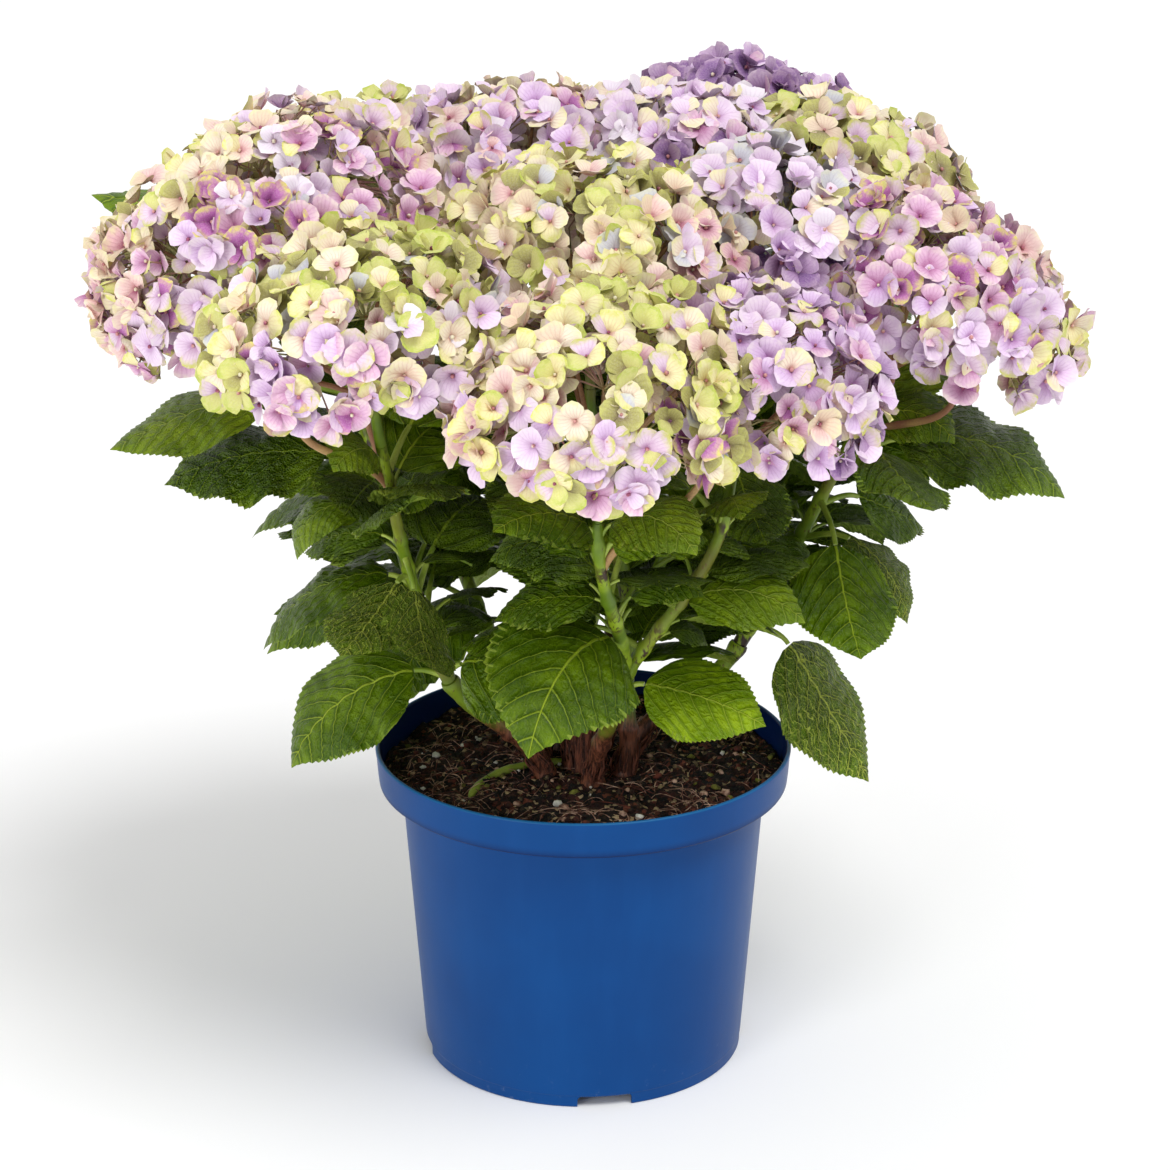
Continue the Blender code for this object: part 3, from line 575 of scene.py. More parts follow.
def bloom_space(bloom):
    """The room of a whole bloom: its dome and the cone of stalks under it."""
    profile = [(0.06, -HUB_DEPTH), (0.80, -0.62), (0.98, -0.32), (1.0, 0)]
    profile += [(0.84, 0.54), (0.5, 0.866), (0.1, 0.995)]
    return loft([[bloom_point(bloom, way, 1.03) for way in ring(*place, 20)] for place in profile])


def stalk_curve(bloom):
    end = bloom.hub + bloom.axis * bloom.size.z * 0.3
    return curve_between(bloom.tip + bloom.axis * CLEAR, bloom.axis, end, bloom.axis)


def stalk_shape(bloom):
    return loft(tube_rings(stalk_curve(bloom), lambda t: SHOOT_TIP_RADIUS * (1 - 0.15 * t), SHOOT_SIDES, 1))


def floret_directions(count, spread, rng, jitter):
    """Unit directions spread evenly over a bloom's dome, from its top down."""
    for i in range(count):
        height = 1 - (i + 0.5) / count * (1 - cos(spread))
        angle = i * GOLDEN_ANGLE + rng.uniform(-jitter, jitter)
        flat = sqrt(max(0, 1 - height * height))
        yield Vector((flat * cos(angle), flat * sin(angle), height))


def soil_height(x, y):
    """The compost's uneven surface, level round the canes."""
    share = min(1, max(0, (hypot(x, y) - SOIL_FLAT_RADIUS) / 0.03))
    wave = sin(71 * x + 1.3) * cos(83 * y - 0.4) + 0.6 * sin(151 * x * 0.9 + 140 * y)
    return SOIL_TOP - 0.0015 * share + SOIL_ROUGHNESS * share * wave


def plan_obstacles(blooms, canes):
    """What leaves keep clear of: blooms, their stalks, the pot, and each mass's own shoots."""
    found = [("", tree_of(shape(b))) for b in blooms.values() for shape in (bloom_space, stalk_shape)]
    found.append(("", tree_of(turned(POT_ROOM, 40))))
    for cane in canes.values():
        rings = tube_rings(cane.curve, cane_radius, CANE_SIDES, 5, level_start=True)
        found.append(("", tree_of(loft(rings))))
        for number, shoot in enumerate(cane.shoots):
            rings = tube_rings(shoot.curve, lambda t: shoot_radius(number, t), SHOOT_SIDES, 5)
            found.append((cane.name, tree_of(loft(rings))))
    return found


# Meshes


def link(name, data):
    """A new object in the scene."""
    made = bpy.data.objects.new(name, data)
    bpy.context.scene.collection.objects.link(made)
    return made


def settle_piece(piece, nodes, slot):
    """A piece that rides on the plant's only body and stands for nodes, which it hides. slot is not used."""
    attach(piece, "root")
    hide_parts(*nodes)


def grid_faces(rows, columns, closed=False):
    """Quads between rows of points. A closed grid joins its last column to its first."""
    across = columns if closed else columns - 1
    row, column = np.meshgrid(np.arange(rows - 1), np.arange(across), indexing="ij")
    here, there = row * columns, (row + 1) * columns
    after = (column + 1) % columns
    quads = [here + column, there + column, there + after, here + after]
    return np.stack([q.ravel() for q in quads], axis=1)


class Sprays:
    """Points and faces of many small shapes that become one mesh."""

    def __init__(self):
        self.points, self.corners, self.starts, self.map, self.paints = [], [], [], [], []
        self.count = self.loops = 0

    def add(self, points, faces, paint=0, places=None):
        """points is (n, 3), faces (m, 3 or 4), and places (n, 2) where the shape has a place on the map."""
        faces = np.asarray(faces, dtype=np.int32)
        self.points.append(np.asarray(points, dtype=np.float32))
        self.corners.append((faces + self.count).ravel())
        self.starts.append(self.loops + np.arange(len(faces), dtype=np.int32) * faces.shape[1])
        self.paints.append(np.full(len(faces), paint, dtype=np.int32))
        if places is not None:
            self.map.append(np.asarray(places, dtype=np.float32)[faces.ravel()])
        self.count += len(points)
        self.loops += faces.size

    def add_rings(self, rings, paint=0, ends=()):
        """Rings joined in turn, with a fan to a point at the first ring and one at the last."""
        sides = len(rings[0])
        faces = grid_faces(len(rings), sides, closed=True)
        self.add([p for each in rings for p in each], faces[:, ::-1], paint)
        fan = np.array([[sides, (i + 1) % sides, i] for i in range(sides)])
        for each, end, flip in zip((rings[0], rings[-1]), ends, (1, -1)):
            self.add([*each, end], fan[:, ::flip], paint)

    def settle(self, name, paints, nodes, slot):
        mesh = bpy.data.meshes.new(name)
        mesh.vertices.add(self.count)
        mesh.vertices.foreach_set("co", np.concatenate(self.points).ravel())
        mesh.loops.add(self.loops)
        mesh.loops.foreach_set("vertex_index", np.concatenate(self.corners))
        starts = np.concatenate(self.starts)
        mesh.polygons.add(len(starts))
        mesh.polygons.foreach_set("loop_start", starts)
        mesh.polygons.foreach_set("material_index", np.concatenate(self.paints))
        if self.map:
            layer = mesh.uv_layers.new(name="OFBake")
            layer.data.foreach_set("uv", np.concatenate(self.map).ravel())
        mesh.update(calc_edges=True)
        mesh.validate()
        mesh.shade_smooth()
        for paint in paints:
            mesh.materials.append(paint)
        settle_piece(link(name, mesh), nodes, slot)


def tube(sprays, curve, radius_at, sides, steps, paint=0, ends=True):
    """A round tube along a cubic curve, closed by points at its ends. radius_at gives the radius at t."""
    points = (place_at(curve, 0), place_at(curve, 1)) if ends else ()
    sprays.add_rings(tube_rings(curve, radius_at, sides, steps), paint, points)


# Nodes


def linear(colour):
    """A colour as it shows on a screen, 0 to 1, in the light values that Blender reads."""
    return tuple(c / 12.92 if c <= 0.04045 else ((c + 0.055) / 1.055) ** 2.4 for c in colour)


class Value:
    """A node's output, which other nodes may take up in sums. The sign | takes the greater of two."""

    def __init__(self, paint, socket):
        self.paint, self.socket = paint, socket

    def __add__(self, other):
        return self.paint.math("ADD", self, other)

    def __sub__(self, other):
        return self.paint.math("SUBTRACT", self, other)

    def __mul__(self, other):
        return self.paint.math("MULTIPLY", self, other)

    def __truediv__(self, other):
        return self.paint.math("DIVIDE", self, other)

    def __pow__(self, other):
        return self.paint.math("POWER", self, other)

    def __or__(self, other):
        return self.paint.math("MAXIMUM", self, other)

    def __abs__(self):
        return self.paint.math("ABSOLUTE", self)

    def __round__(self):
        return self.paint.math("ROUND", self)


class Paint:
    """A material and short calls for the nodes of its tree."""

    def __init__(self, name, roughness=0.5, specular=0.5):
        self.material = bpy.data.materials.new(name)
        self.material.use_nodes = True
        self.tree = self.material.node_tree
        self.shader = self.tree.nodes["Principled BSDF"]
        self.shader.inputs["Roughness"].default_value = roughness
        self.shader.inputs["Specular IOR Level"].default_value = specular

    def feed(self, socket, value):
        """Links a value to a socket, or sets a number, a vector or a colour as it shows."""
        if isinstance(value, Value):
            self.tree.links.new(value.socket, socket)
        elif value is not None:
            socket.default_value = (*linear(value), 1) if socket.type == "RGBA" else value

    def node(self, kind, inputs=(), **settings):
        made = self.tree.nodes.new(kind)
        for key, value in settings.items():
            setattr(made, key, value)
        for key, value in inputs.items() if isinstance(inputs, dict) else enumerate(inputs):
            self.feed(made.inputs[key], value)
        return made

    def value(self, kind, inputs=(), output=0, **settings):
        return Value(self, self.node(kind, inputs, **settings).outputs[output])

    def math(self, operation, *inputs):
        return self.value("ShaderNodeMath", inputs, operation=operation)

    def step(self, value, low, high, low_out=0.0, high_out=1.0):
        """value from low to high as a smooth step."""
        inputs = value, low, high, low_out, high_out
        return self.value("ShaderNodeMapRange", inputs, interpolation_type="SMOOTHSTEP")

    def mix(self, share, a, b):
        return self.value("ShaderNodeMix", {0: share, 6: a, 7: b}, 2, data_type="RGBA")

    def noise(self, vector, scale, detail=2.0, rough=0.5):
        inputs = {"Vector": vector, "Scale": scale, "Detail": detail, "Roughness": rough}
        return self.value("ShaderNodeTexNoise", inputs)

    def voronoi(self, vector, scale, output="Distance", feature="F1"):
        return self.value("ShaderNodeTexVoronoi", {"Vector": vector, "Scale": scale}, output, feature=feature)

    def stretch(self, vector, *scale):
        return self.value("ShaderNodeMapping", {"Vector": vector, "Scale": scale})

    def object_place(self):
        return self.value("ShaderNodeTexCoord", output="Object")

    def split(self, vector):
        return [Value(self, socket) for socket in self.node("ShaderNodeSeparateXYZ", (vector,)).outputs]

    def join(self, *parts):
        return self.value("ShaderNodeCombineXYZ", parts)

    def tile(self, columns, rows):
        """The shared map with its tiles 1 across, and the places across and along each tile."""
        tiled = self.stretch(self.value("ShaderNodeUVMap", uv_map="OFBake"), columns, rows, 1)
        across, along, _ = self.split(self.value("ShaderNodeVectorMath", (tiled,), operation="FRACTION"))
        return tiled, across, along

    def bump(self, height, strength, distance):
        return self.value("ShaderNodeBump", {"Height": height, "Strength": strength, "Distance": distance})

    def finish(self, colour, normal=None, roughness=None):
        for key, value in (("Base Color", colour), ("Roughness", roughness), ("Normal", normal)):
            self.feed(self.shader.inputs[key], value)
        return self.material


def grainy_paint(name, roughness, scale, detail, levels, dark, light, grain, bump, speckle=None):
    """Two colours in soft patches, with a speckle or streak of a third over fine grain."""
    paint = Paint(name, roughness)
    place = paint.object_place()
    colour = paint.mix(paint.step(paint.noise(place, scale, detail), *levels), dark, light)
    fine = paint.noise(place, grain)
    if speckle:
        colour = paint.mix(paint.step(fine, *speckle[0]), colour, speckle[1])
    return paint.finish(colour, paint.bump(fine, *bump))


# Sepals

# Each tint's name, its colours as they show at the throat, over the body and along the margin, and how
# far up the sepal the throat's colour reaches
TINTS = {
    "L": ("lilac", (0.66, 0.43, 0.68), (0.87, 0.75, 0.90), (0.93, 0.86, 0.92), 0.52),
    "P": ("pale_lilac", (0.75, 0.58, 0.76), (0.91, 0.82, 0.92), (0.94, 0.89, 0.92), 0.46),
    "K": ("pink_lilac", (0.66, 0.33, 0.56), (0.87, 0.69, 0.82), (0.95, 0.88, 0.86), 0.56),
    "M": ("magenta_cup", (0.50, 0.12, 0.45), (0.76, 0.46, 0.73), (0.89, 0.87, 0.38), 0.72),
    "X": ("lilac_lime", (0.72, 0.52, 0.70), (0.90, 0.81, 0.88), (0.79, 0.80, 0.30), 0.48),
    "C": ("cream", (0.80, 0.61, 0.56), (0.95, 0.90, 0.81), (0.92, 0.90, 0.66), 0.42),
    "Q": ("cream_pink", (0.76, 0.47, 0.52), (0.94, 0.82, 0.80), (0.96, 0.92, 0.80), 0.48),
    "G": ("lime", (0.80, 0.77, 0.50), (0.85, 0.85, 0.52), (0.70, 0.77, 0.20), 0.42),
    "Y": ("yellow_cream", (0.82, 0.69, 0.50), (0.94, 0.91, 0.70), (0.84, 0.86, 0.36), 0.38),
    "R": ("rose", (0.60, 0.20, 0.38), (0.91, 0.73, 0.77), (0.93, 0.90, 0.70), 0.62),
    "T": ("mist", (0.66, 0.61, 0.68), (0.80, 0.80, 0.84), (0.87, 0.87, 0.78), 0.50),
    "V": ("violet", (0.33, 0.16, 0.40), (0.56, 0.40, 0.63), (0.74, 0.61, 0.74), 0.58),
    "O": ("grey_olive", (0.48, 0.40, 0.30), (0.68, 0.66, 0.38), (0.77, 0.77, 0.40), 0.56),
    "B": ("beige", (0.76, 0.60, 0.54), (0.91, 0.82, 0.72), (0.92, 0.88, 0.70), 0.48),
    "W": ("white_lilac", (0.81, 0.71, 0.81), (0.92, 0.88, 0.93), (0.95, 0.92, 0.93), 0.38),
    "S": ("lilac_shadow", (0.50, 0.33, 0.53), (0.71, 0.57, 0.74), (0.83, 0.74, 0.82), 0.56),
}
TINT_VARIANTS = SEPAL_TILES[0] * SEPAL_TILES[1] // len(TINTS)

# What one sepal of a floret may turn to while the others keep the floret's own tint
PARTNERS = {
    "L": "XKPC", "P": "LXC", "K": "MXY", "M": "KXY", "X": "YGL", "C": "YQBP", "Q": "CRP", "G": "YO",
    "Y": "GCX", "R": "QXY", "T": "OPC", "V": "SK", "O": "GT", "B": "CQO", "W": "PTC", "S": "LV",
}
PARTNER_SHARE = 0.34

# Each head's zones: heading and rise of the zone's middle in degrees, 270 being to the front, and its tints
HEAD_ZONES = {
    "left": ((180, 42, "GYYCBQY"), (190, 0, "BQQKKCXL"), (275, 42, "LLPPWPKMMKXW"),
        (265, -5, "LLKPPXYK"), (50, 45, "BCCQPK")),
    "front_left": ((195, 30, "GYYCCOYX"), (310, 50, "YCQYGCOBC"), (250, -8, "RKKXLLGGYT"),
        (330, 0, "YCWPGCY")),
    "front": ((200, 30, "YYCCQBG"), (300, 60, "CBYGYCQ"), (262, -8, "LPKGPXYRT"), (225, 0, "CQRYPXC"),
        (320, 5, "QRBMOYPG")),
    "front_right": ((265, 35, "TPLLXSW"), (350, 0, "LLSPKL"), (250, -10, "RBKLYV")),
    "right": ((180, 30, "PPWLLX"), (270, 35, "LLPKMMX"), (265, -10, "LPPKXY"), (350, 5, "QQKPXYB"),
        (80, 50, "LKQB")),
    "centre": ((300, 60, "GYYCOYC"), (200, 30, "CCBYQY"), (270, 0, "TBYCOGW"), (340, 10, "BBRTW")),
    "centre_right": ((270, 45, "WWPTL"), (200, 0, "XYLK"), (300, -5, "LLSKP"), (90, 50, "WWTP")),
    "back_left": ((275, 30, "KMMPLLPWPL"), (200, 15, "CCQPKPPL"), (90, 50, "BCQP"), (340, 10, "LPWKP")),
    "back": ((180, 40, "WWPT"), (290, 15, "LLVPKL"), (0, 20, "LPWX"), (270, 65, "WPPL")),
    "back_right": ((205, 30, "OYCGOBC"), (290, 10, "MOYXBKC"), (0, 10, "BCOQKY"), (90, 50, "BCOY")),
    "far_right": ((270, 30, "VVVS"), (200, 10, "VVOS"), (340, 10, "SVLO"), (90, 50, "VSSL")),
    "rear": ((90, 20, "LLPKX"), (0, 20, "KPLM"), (180, 30, "GYCB")),
    "rear_left": ((250, 50, "GGYYCV"), (180, 10, "CCBQP"), (90, 20, "LPKX")),
}

SEPAL_GROUPS = {
    "left": ("left", "front_left", "rear_left"),
    "front": ("front", "front_right", "centre"),
    "right": ("right", "centre_right", "back_right"),
    "back": ("back_left", "back", "far_right", "rear"),
}


def sepal_paint(name, throat, body, margin, reach):
    """A tint that runs from the throat over the body to an uneven margin, with fine veins."""
    paint = Paint("sepal_" + name, 0.62, 0.3)
    paint.shader.inputs["Sheen Weight"].default_value = 0.05
    tiled, across, along = paint.tile(*SEPAL_TILES)
    across = across * 2.0 - 1.0
    blotch = paint.noise(tiled, 2.6)
    wander = blotch * 0.44 - 0.22
    deep = paint.step(along + wander, -0.02, reach + 0.10, 1.0, 0.0) ** 1.25
    rim = paint.step((along + wander) | (abs(across) ** 2.0 * 0.90 + wander), 0.46, 1.02)
    uneven = paint.step(paint.noise(tiled, 3.7), 0.36, 0.60, 0.25, 1.0)
    waves = paint.math("SINE", across * 21.0 + blotch * 6.0)
    veins = paint.step(waves, 0.1, 1.0) * paint.step(along, 1.0, 0.1, 0.06, 0.52)
    blush = paint.step(paint.noise(tiled, 1.6), 0.46, 0.70, 0.0, 0.20)
    flecks = paint.step(paint.noise(tiled, 15.0, 3.0), 0.35, 0.75)
    colour = paint.mix(rim * uneven, body, margin)
    colour = paint.mix(deep | veins | blush, colour, throat)
    colour = paint.mix(flecks * 0.14, colour, (0.97, 0.95, 0.92))
    return paint.finish(colour, paint.bump(veins + flecks * 0.3, 0.25, 0.0004))


def sepal_sheet(grid):
    """The places across and along of a sepal's grid of points, and its faces."""
    spread = np.sin(np.linspace(-1, 1, grid) * 1.25) / sin(1.25)
    along, across = np.meshgrid(np.linspace(0, 1, grid), spread, indexing="ij")
    return across.ravel(), along.ravel(), grid_faces(grid, grid)


SHEETS = [sepal_sheet(grid) for grid in SEPAL_GRIDS]


def tile_places(across, along, tile, tiles):
    """Places on the shared map, in one of its tiles."""
    row, column = divmod(tile, tiles[0])
    return (np.stack([across, along], axis=1) + (column, row)) / tiles


def add_floret(sprays, floret):
    """Four broad sepals, each lapping over the next, on one floret."""
    across, along, faces = SHEETS[floret.layer]
    rng = floret.rng
    side = floret.normal.orthogonal().normalized()
    axes = np.array([side, floret.normal.cross(side), floret.normal])
    waist = 0.15 + 1.50 * along - 0.80 * along**2.2
    tip = 1 - 0.40 * (1 - np.sqrt(1 - 0.93 * across**2)) + 0.05 * (1 - np.abs(across)) ** 2
    count = 4 if rng.random() < 0.93 else 3
    for number in range(count):
        length = floret.length * rng.uniform(0.90, 1.08)
        first = floret.first + rng.uniform(-0.28, 0.28)
        bend = floret.last - floret.first + rng.uniform(-0.4, 0.4) - 0.02
        run = along * tip
        out = 0.0007 + length * (np.sin(first + bend * run) - sin(first)) / bend
        rise = length * (cos(first) - np.cos(first + bend * run)) / bend
        wide = SEPAL_WIDTH * length * waist * across * (1.16 if count == 3 else 1)
        rise += length * floret.cup * (across * waist) ** 2 * along
        rise += length * floret.lap * across * waist * along**0.5
        phase = rng.uniform(0, tau)
        ripple = np.sin(phase + across * 4.2 + along * 2.2)
        ripple += 0.5 * np.sin(phase * 2 + across * 9 - along * 3)
        rise += length * floret.ripple * along**2 * ripple
        angle = floret.spin + tau * number / count + rng.uniform(-0.10, 0.10)
        x, y = out * cos(angle) - wide * sin(angle), out * sin(angle) + wide * cos(angle)
        local = np.stack([x, y, rise], axis=1)
        letter = rng.choice(PARTNERS[floret.tint]) if rng.random() < PARTNER_SHARE else floret.tint
        tint = list(TINTS).index(letter)
        tile = tint * TINT_VARIANTS + rng.randrange(TINT_VARIANTS)
        places = tile_places(0.5 + across * 0.44, 0.05 + along * 0.90, tile, SEPAL_TILES)
        sprays.add(np.array(floret.place) + local @ axes, faces, tint, places)


def pick_tint(bloom, out, place, rng):
    """A tint of the head's zone that the way out lies nearest to. Near florets tend to be alike."""
    best, letters = -9, ""
    for number, (heading, rise, tints) in enumerate(HEAD_ZONES[bloom.name]):
        turn, lift = radians(heading), radians(rise)
        way = Vector((cos(turn) * cos(lift), sin(turn) * cos(lift), sin(lift)))
        score = way.dot(out) + 0.45 * noise.noise(place * 30 + EAST * number * 7) + rng.uniform(0, 0.12)
        if score > best:
            best, letters = score, tints
    patch = 0.5 + 0.62 * noise.noise(place * 26 + bloom.middle * 90)
    mark = min(0.999, max(0, patch * 0.5 + rng.random() * 0.5))
    return letters[int(mark * len(letters))]


def plan_head(bloom):
    """The florets of one head: place, normal, tint and shape of each, outer ones first."""
    rng = random.Random(f"{SEED} {bloom.name} florets")
    count = round(FLORETS_EACH * (bloom.size.x / 0.086) ** 2)
    found = []
    for layer, number in ((0, count), (1, round(count * INNER_SHARE))):
        for way in floret_directions(number, FLORET_SPREAD, rng, 0.35):
            lumps = 0.09 * noise.noise(way * 3.4 + bloom.middle * 40)
            reach = 0.945 + lumps - 0.10 * rng.random() ** 1.3 - 0.13 * layer
            reach = reach_in_cell(bloom, way, reach, FLORET_LEAST, 0.035, FLORET_ROOM)
            if reach <= FLORET_LEAST:
                continue
            floret = SimpleNamespace(rng=rng, place=bloom_point(bloom, way, reach), layer=layer)
            normal = bloom.turn @ Vector((way.x, way.y, way.z * 0.85)).normalized()
            wobble = Vector((rng.gauss(0, 1), rng.gauss(0, 1), rng.gauss(0, 1))) * 0.34
            floret.normal = (normal + FLORET_LIGHT + wobble).normalized()
            floret.tint = pick_tint(bloom, bloom.turn @ way, floret.place, rng)
            openness = rng.random() * (0.7 if floret.tint == "M" else 1)
            floret.length = SEPAL_LENGTH * rng.uniform(0.86, 1.16) * (0.84 if layer else 1)
            floret.first = 0.30 + 0.66 * (1 - openness) ** 1.5 + rng.uniform(0, 0.25)
            floret.last = 0.62 - 1.05 * openness + rng.uniform(-0.2, 0.2)
            floret.cup = rng.uniform(0.04, 0.34)
            floret.lap = rng.uniform(0.03, 0.12)
            floret.ripple = rng.uniform(0.03, 0.09)
            floret.spin = rng.uniform(0, tau)
            found.append(floret)
    return found


def sphere_points(rows, sides):
    """Unit sphere points, rows from the bottom up, and faces."""
    points = [(0, 0, -1)]
    for row in range(1, rows):
        points += ring(sin(pi * row / rows), -cos(pi * row / rows), sides)
    points.append((0, 0, 1))
    last = len(points) - 1
    after = [(i + 1) % sides for i in range(sides)]
    faces = [(0, 1 + after[i], 1 + i) for i in range(sides)]
    for base in range(1, 1 + (rows - 2) * sides, sides):
        for i in range(sides):
            a, b = base + i, base + after[i]
            faces += [(a, b, b + sides), (a, b + sides, a + sides)]
    faces += [(last, last - sides + i, last - sides + after[i]) for i in range(sides)]
    return np.array(points), np.array(faces)


def bud_paint():
    paint = Paint("floret_bud")
    place = paint.object_place()
    patch = paint.noise(place, 130, 1.0)
    colour = paint.mix(paint.step(patch, 0.35, 0.5), (0.60, 0.30, 0.42), (0.82, 0.58, 0.56))
    colour = paint.mix(paint.step(patch, 0.50, 0.62), colour, (0.90, 0.87, 0.76))
    return paint.finish(colour, paint.bump(paint.noise(place, 2200), 0.4, 0.0003))


def flower_stalk_paint(name, dark, light):
    """Stalks inside and below the heads: pale green to pinkish brown."""
    streaks = (0.45, 0.75, 0.0, 0.4), (0.46, 0.26, 0.22)
    return grainy_paint(name, 0.55, 34, 2.0, (0.36, 0.60), dark, light, 900, (0.3, 0.0003), streaks)


def make_heads(blooms, canes):
    paints = [sepal_paint(*values) for values in TINTS.values()]
    ball, ball_faces = sphere_points(3, 5)
    buds, stalks = Sprays(), Sprays()
    for group, names in SEPAL_GROUPS.items():
        sepals = Sprays()
        for bloom in (blooms[name] for name in names):
            florets = plan_head(bloom)
            rays = make_rays(stalks, bloom)
            for floret in florets:
                add_floret(sepals, floret)
                if not floret.layer:
                    radius = BUD_RADIUS * floret.rng.uniform(0.75, 1.3)
                    middle = floret.place + floret.normal * radius * 0.9
                    buds.add(np.array(middle) + ball * radius, ball_faces)
                end, way = min(rays, key=lambda ray: (ray[0] - floret.place).length)
                line = curve_between(end, way, floret.place - floret.normal * 0.0004, floret.normal, 0.42)
                tube(stalks, line, lambda t: PEDICEL_RADIUS, 3, 2, ends=False)
        sepals.settle("sepals_" + group, paints, ["bloom_" + name for name in names], "sepals")
    for name, number, share, head, out in SIDE_STALKS:
        curve = canes[name].shoots[number].curve
        end = bloom_point(blooms[head], Vector(out), 0.80)
        start = place_at(curve, share)
        way = (way_at(curve, share) + (end - start).normalized()).normalized()
        line = curve_between(start, way, end, UP, 0.4)
        tube(stalks, line, lambda t: SIDE_STALK_RADIUS - SIDE_STALK_TAPER * t, 8, 16, paint=1)
    every = ["bloom_" + name for name in blooms]
    buds.settle("floret_buds", [bud_paint()], every, "sepals")
    paints = [flower_stalk_paint("flower_stalk", (0.70, 0.50, 0.48), (0.76, 0.77, 0.50))]
    paints.append(flower_stalk_paint("peduncle", (0.56, 0.38, 0.28), (0.68, 0.55, 0.34)))
    stalks.settle("flower_stalks", paints, every, "green_stem")


def make_rays(stalks, bloom):
    """The main stalks that part from the head's hub: (end, way) of each."""
    rng = random.Random(f"{SEED} {bloom.name} rays")
    start = bloom.hub + bloom.axis * bloom.size.z * 0.1
    ends = []
    for direction in floret_directions(RAYS, FLORET_SPREAD * 0.86, rng, 0.2):
        end = bloom_point(bloom, direction, reach_in_cell(bloom, direction, 0.60, 0.3, 0.05, 0.2))
        way = (end - start).normalized()
        line = curve_between(start, (way + bloom.axis * 0.3).normalized(), end, way)
        tube(stalks, line, lambda t: RAY_RADIUS - RAY_TAPER * t, 6, 5, paint=1)
        ends.append((end - way * 0.002, way))
    return ends


# Leaves

# Each look's blade, shade and vein colours as they show. The shade colour is a darker green for random
# patches and for painted shade along the veins. The last two are undersides
LEAF_LOOKS = (
    ((0.39, 0.50, 0.03), (0.18, 0.29, 0.01), (0.60, 0.69, 0.17)),
    ((0.42, 0.53, 0.03), (0.19, 0.31, 0.01), (0.68, 0.76, 0.23)),
    ((0.42, 0.53, 0.05), (0.18, 0.29, 0.01), (0.60, 0.70, 0.18)),
    ((0.57, 0.68, 0.07), (0.37, 0.50, 0.02), (0.72, 0.80, 0.26)),
    ((0.34, 0.46, 0.03), (0.14, 0.23, 0.00), (0.74, 0.79, 0.32)),
    ((0.50, 0.60, 0.09), (0.32, 0.43, 0.04), (0.66, 0.74, 0.28)),
    ((0.52, 0.60, 0.20), (0.41, 0.50, 0.14), (0.68, 0.74, 0.36)),
    ((0.46, 0.56, 0.17), (0.35, 0.46, 0.12), (0.63, 0.70, 0.32)),
)
RUGGED = (2, 4)  # the looks with the deepest relief
RUFFLED, NETTED = RUGGED
UNDERSIDES = (6, 7)
LEAF_GROUPS = {
    "left": ("left", "rear_left", "back"),
    "front": ("front", "centre"),
    "right": ("right", "rear"),
}


def leaf_paint(number, blade, shade, vein):
    """Green between veins that arch to the tip, with finer rungs, pillows between and pale teeth, painted
    shade along the veins and a painted highlight on the pillows.
    """
    under, rugged, netted = number in UNDERSIDES, number in RUGGED, number == NETTED
    paint = Paint(f"leaf_{number}", specular=0.30 if number == RUFFLED else 0.20)
    _, across, along = paint.tile(*LEAF_TILES)
    across = (across - 0.5) * LEAF_MAP_SPAN
    away = abs(across)
    place = paint.join(across, along, number * 1.7)
    phase = (along - (away * VEIN_CURVE + VEIN_SLANT) * away) * float(LEAF_VEINS)
    phase = paint.noise(place, 4.0, 1.0) * 0.32 + (phase - 0.16)
    gap = abs(phase - round(phase))
    laterals = paint.step(gap / (away * -0.12 + 0.062), 1.3, 0.2, 0.0, 0.62)
    main = laterals | paint.step(away / (along * -0.011 + 0.0140), 1.1, 0.4)
    rung = paint.noise(place, 8.0) * 3.4 + away * 20.0 + paint.math("SIGN", across) * 3.3
    rungs = paint.math("PINGPONG", rung + round(phase) * 0.37, 0.5)
    pillow = paint.step(rungs, 0.0, 0.45, 0.35, 1.0) * paint.step(gap, 0.0, 0.34)
    pillow = pillow * paint.step(paint.noise(place, 11.0, 1.0), 0.25, 0.65, 0.45, 1.0)
    fine = paint.voronoi(place, 60.0, feature="DISTANCE_TO_EDGE")
    patch = paint.noise(place, 3.2)
    colour = paint.mix(paint.step(patch, 0.36, 0.64), shade, blade)
    # Painted shade: near each lateral vein the top side darkens to the shade colour, and an underside turns
    # to its blade colour.
    colour = paint.mix(paint.step(gap, 0.30, 0.08, 0.0, 0.70), colour, blade if under else shade)
    # Painted highlight: the pillows between the veins are lightened towards the blade colour; pillow also
    # shapes the bump below.
    colour = paint.mix(pillow * 0.42, colour, blade)
    colour = paint.mix(paint.step(rungs, 0.10, 0.02) * (0.66 if netted else 0.14), colour, vein)
    colour = paint.mix(paint.step(fine, 0.10, 0.01) * (0.34 if netted else 0.05), colour, vein)
    colour = paint.mix(main, colour, vein)
    half = paint.node("ShaderNodeFloatCurve", {"Value": along})
    for share, width in zip(FINE_SHARES[1:-1], FINE_WIDTHS[1:-1]):
        half.mapping.curves[0].points.new(share, width / 1.05)
    half.mapping.curves[0].points[-1].location = (1, 0)
    half.mapping.update()
    inset = Value(paint, half.outputs[0]) * (LEAF_WIDTH / 2 * 1.05) - away
    colour = paint.mix(paint.step(inset, 0.014, 0.001, 0.0, 0.6), colour, (0.62, 0.70, 0.24))
    grain = paint.math("MINIMUM", fine * 4.0, 1.0) * (0.30 if rugged else 0.10)
    height = pillow * (1.0 if rugged else 0.55) + grain - main * 0.45
    normal = paint.bump(height * (-1.0 if under else 1.0), 1.0, 0.0018 if rugged else 0.0015)
    return paint.finish(colour, normal, patch * 0.14 + (0.50 if under else 0.27))


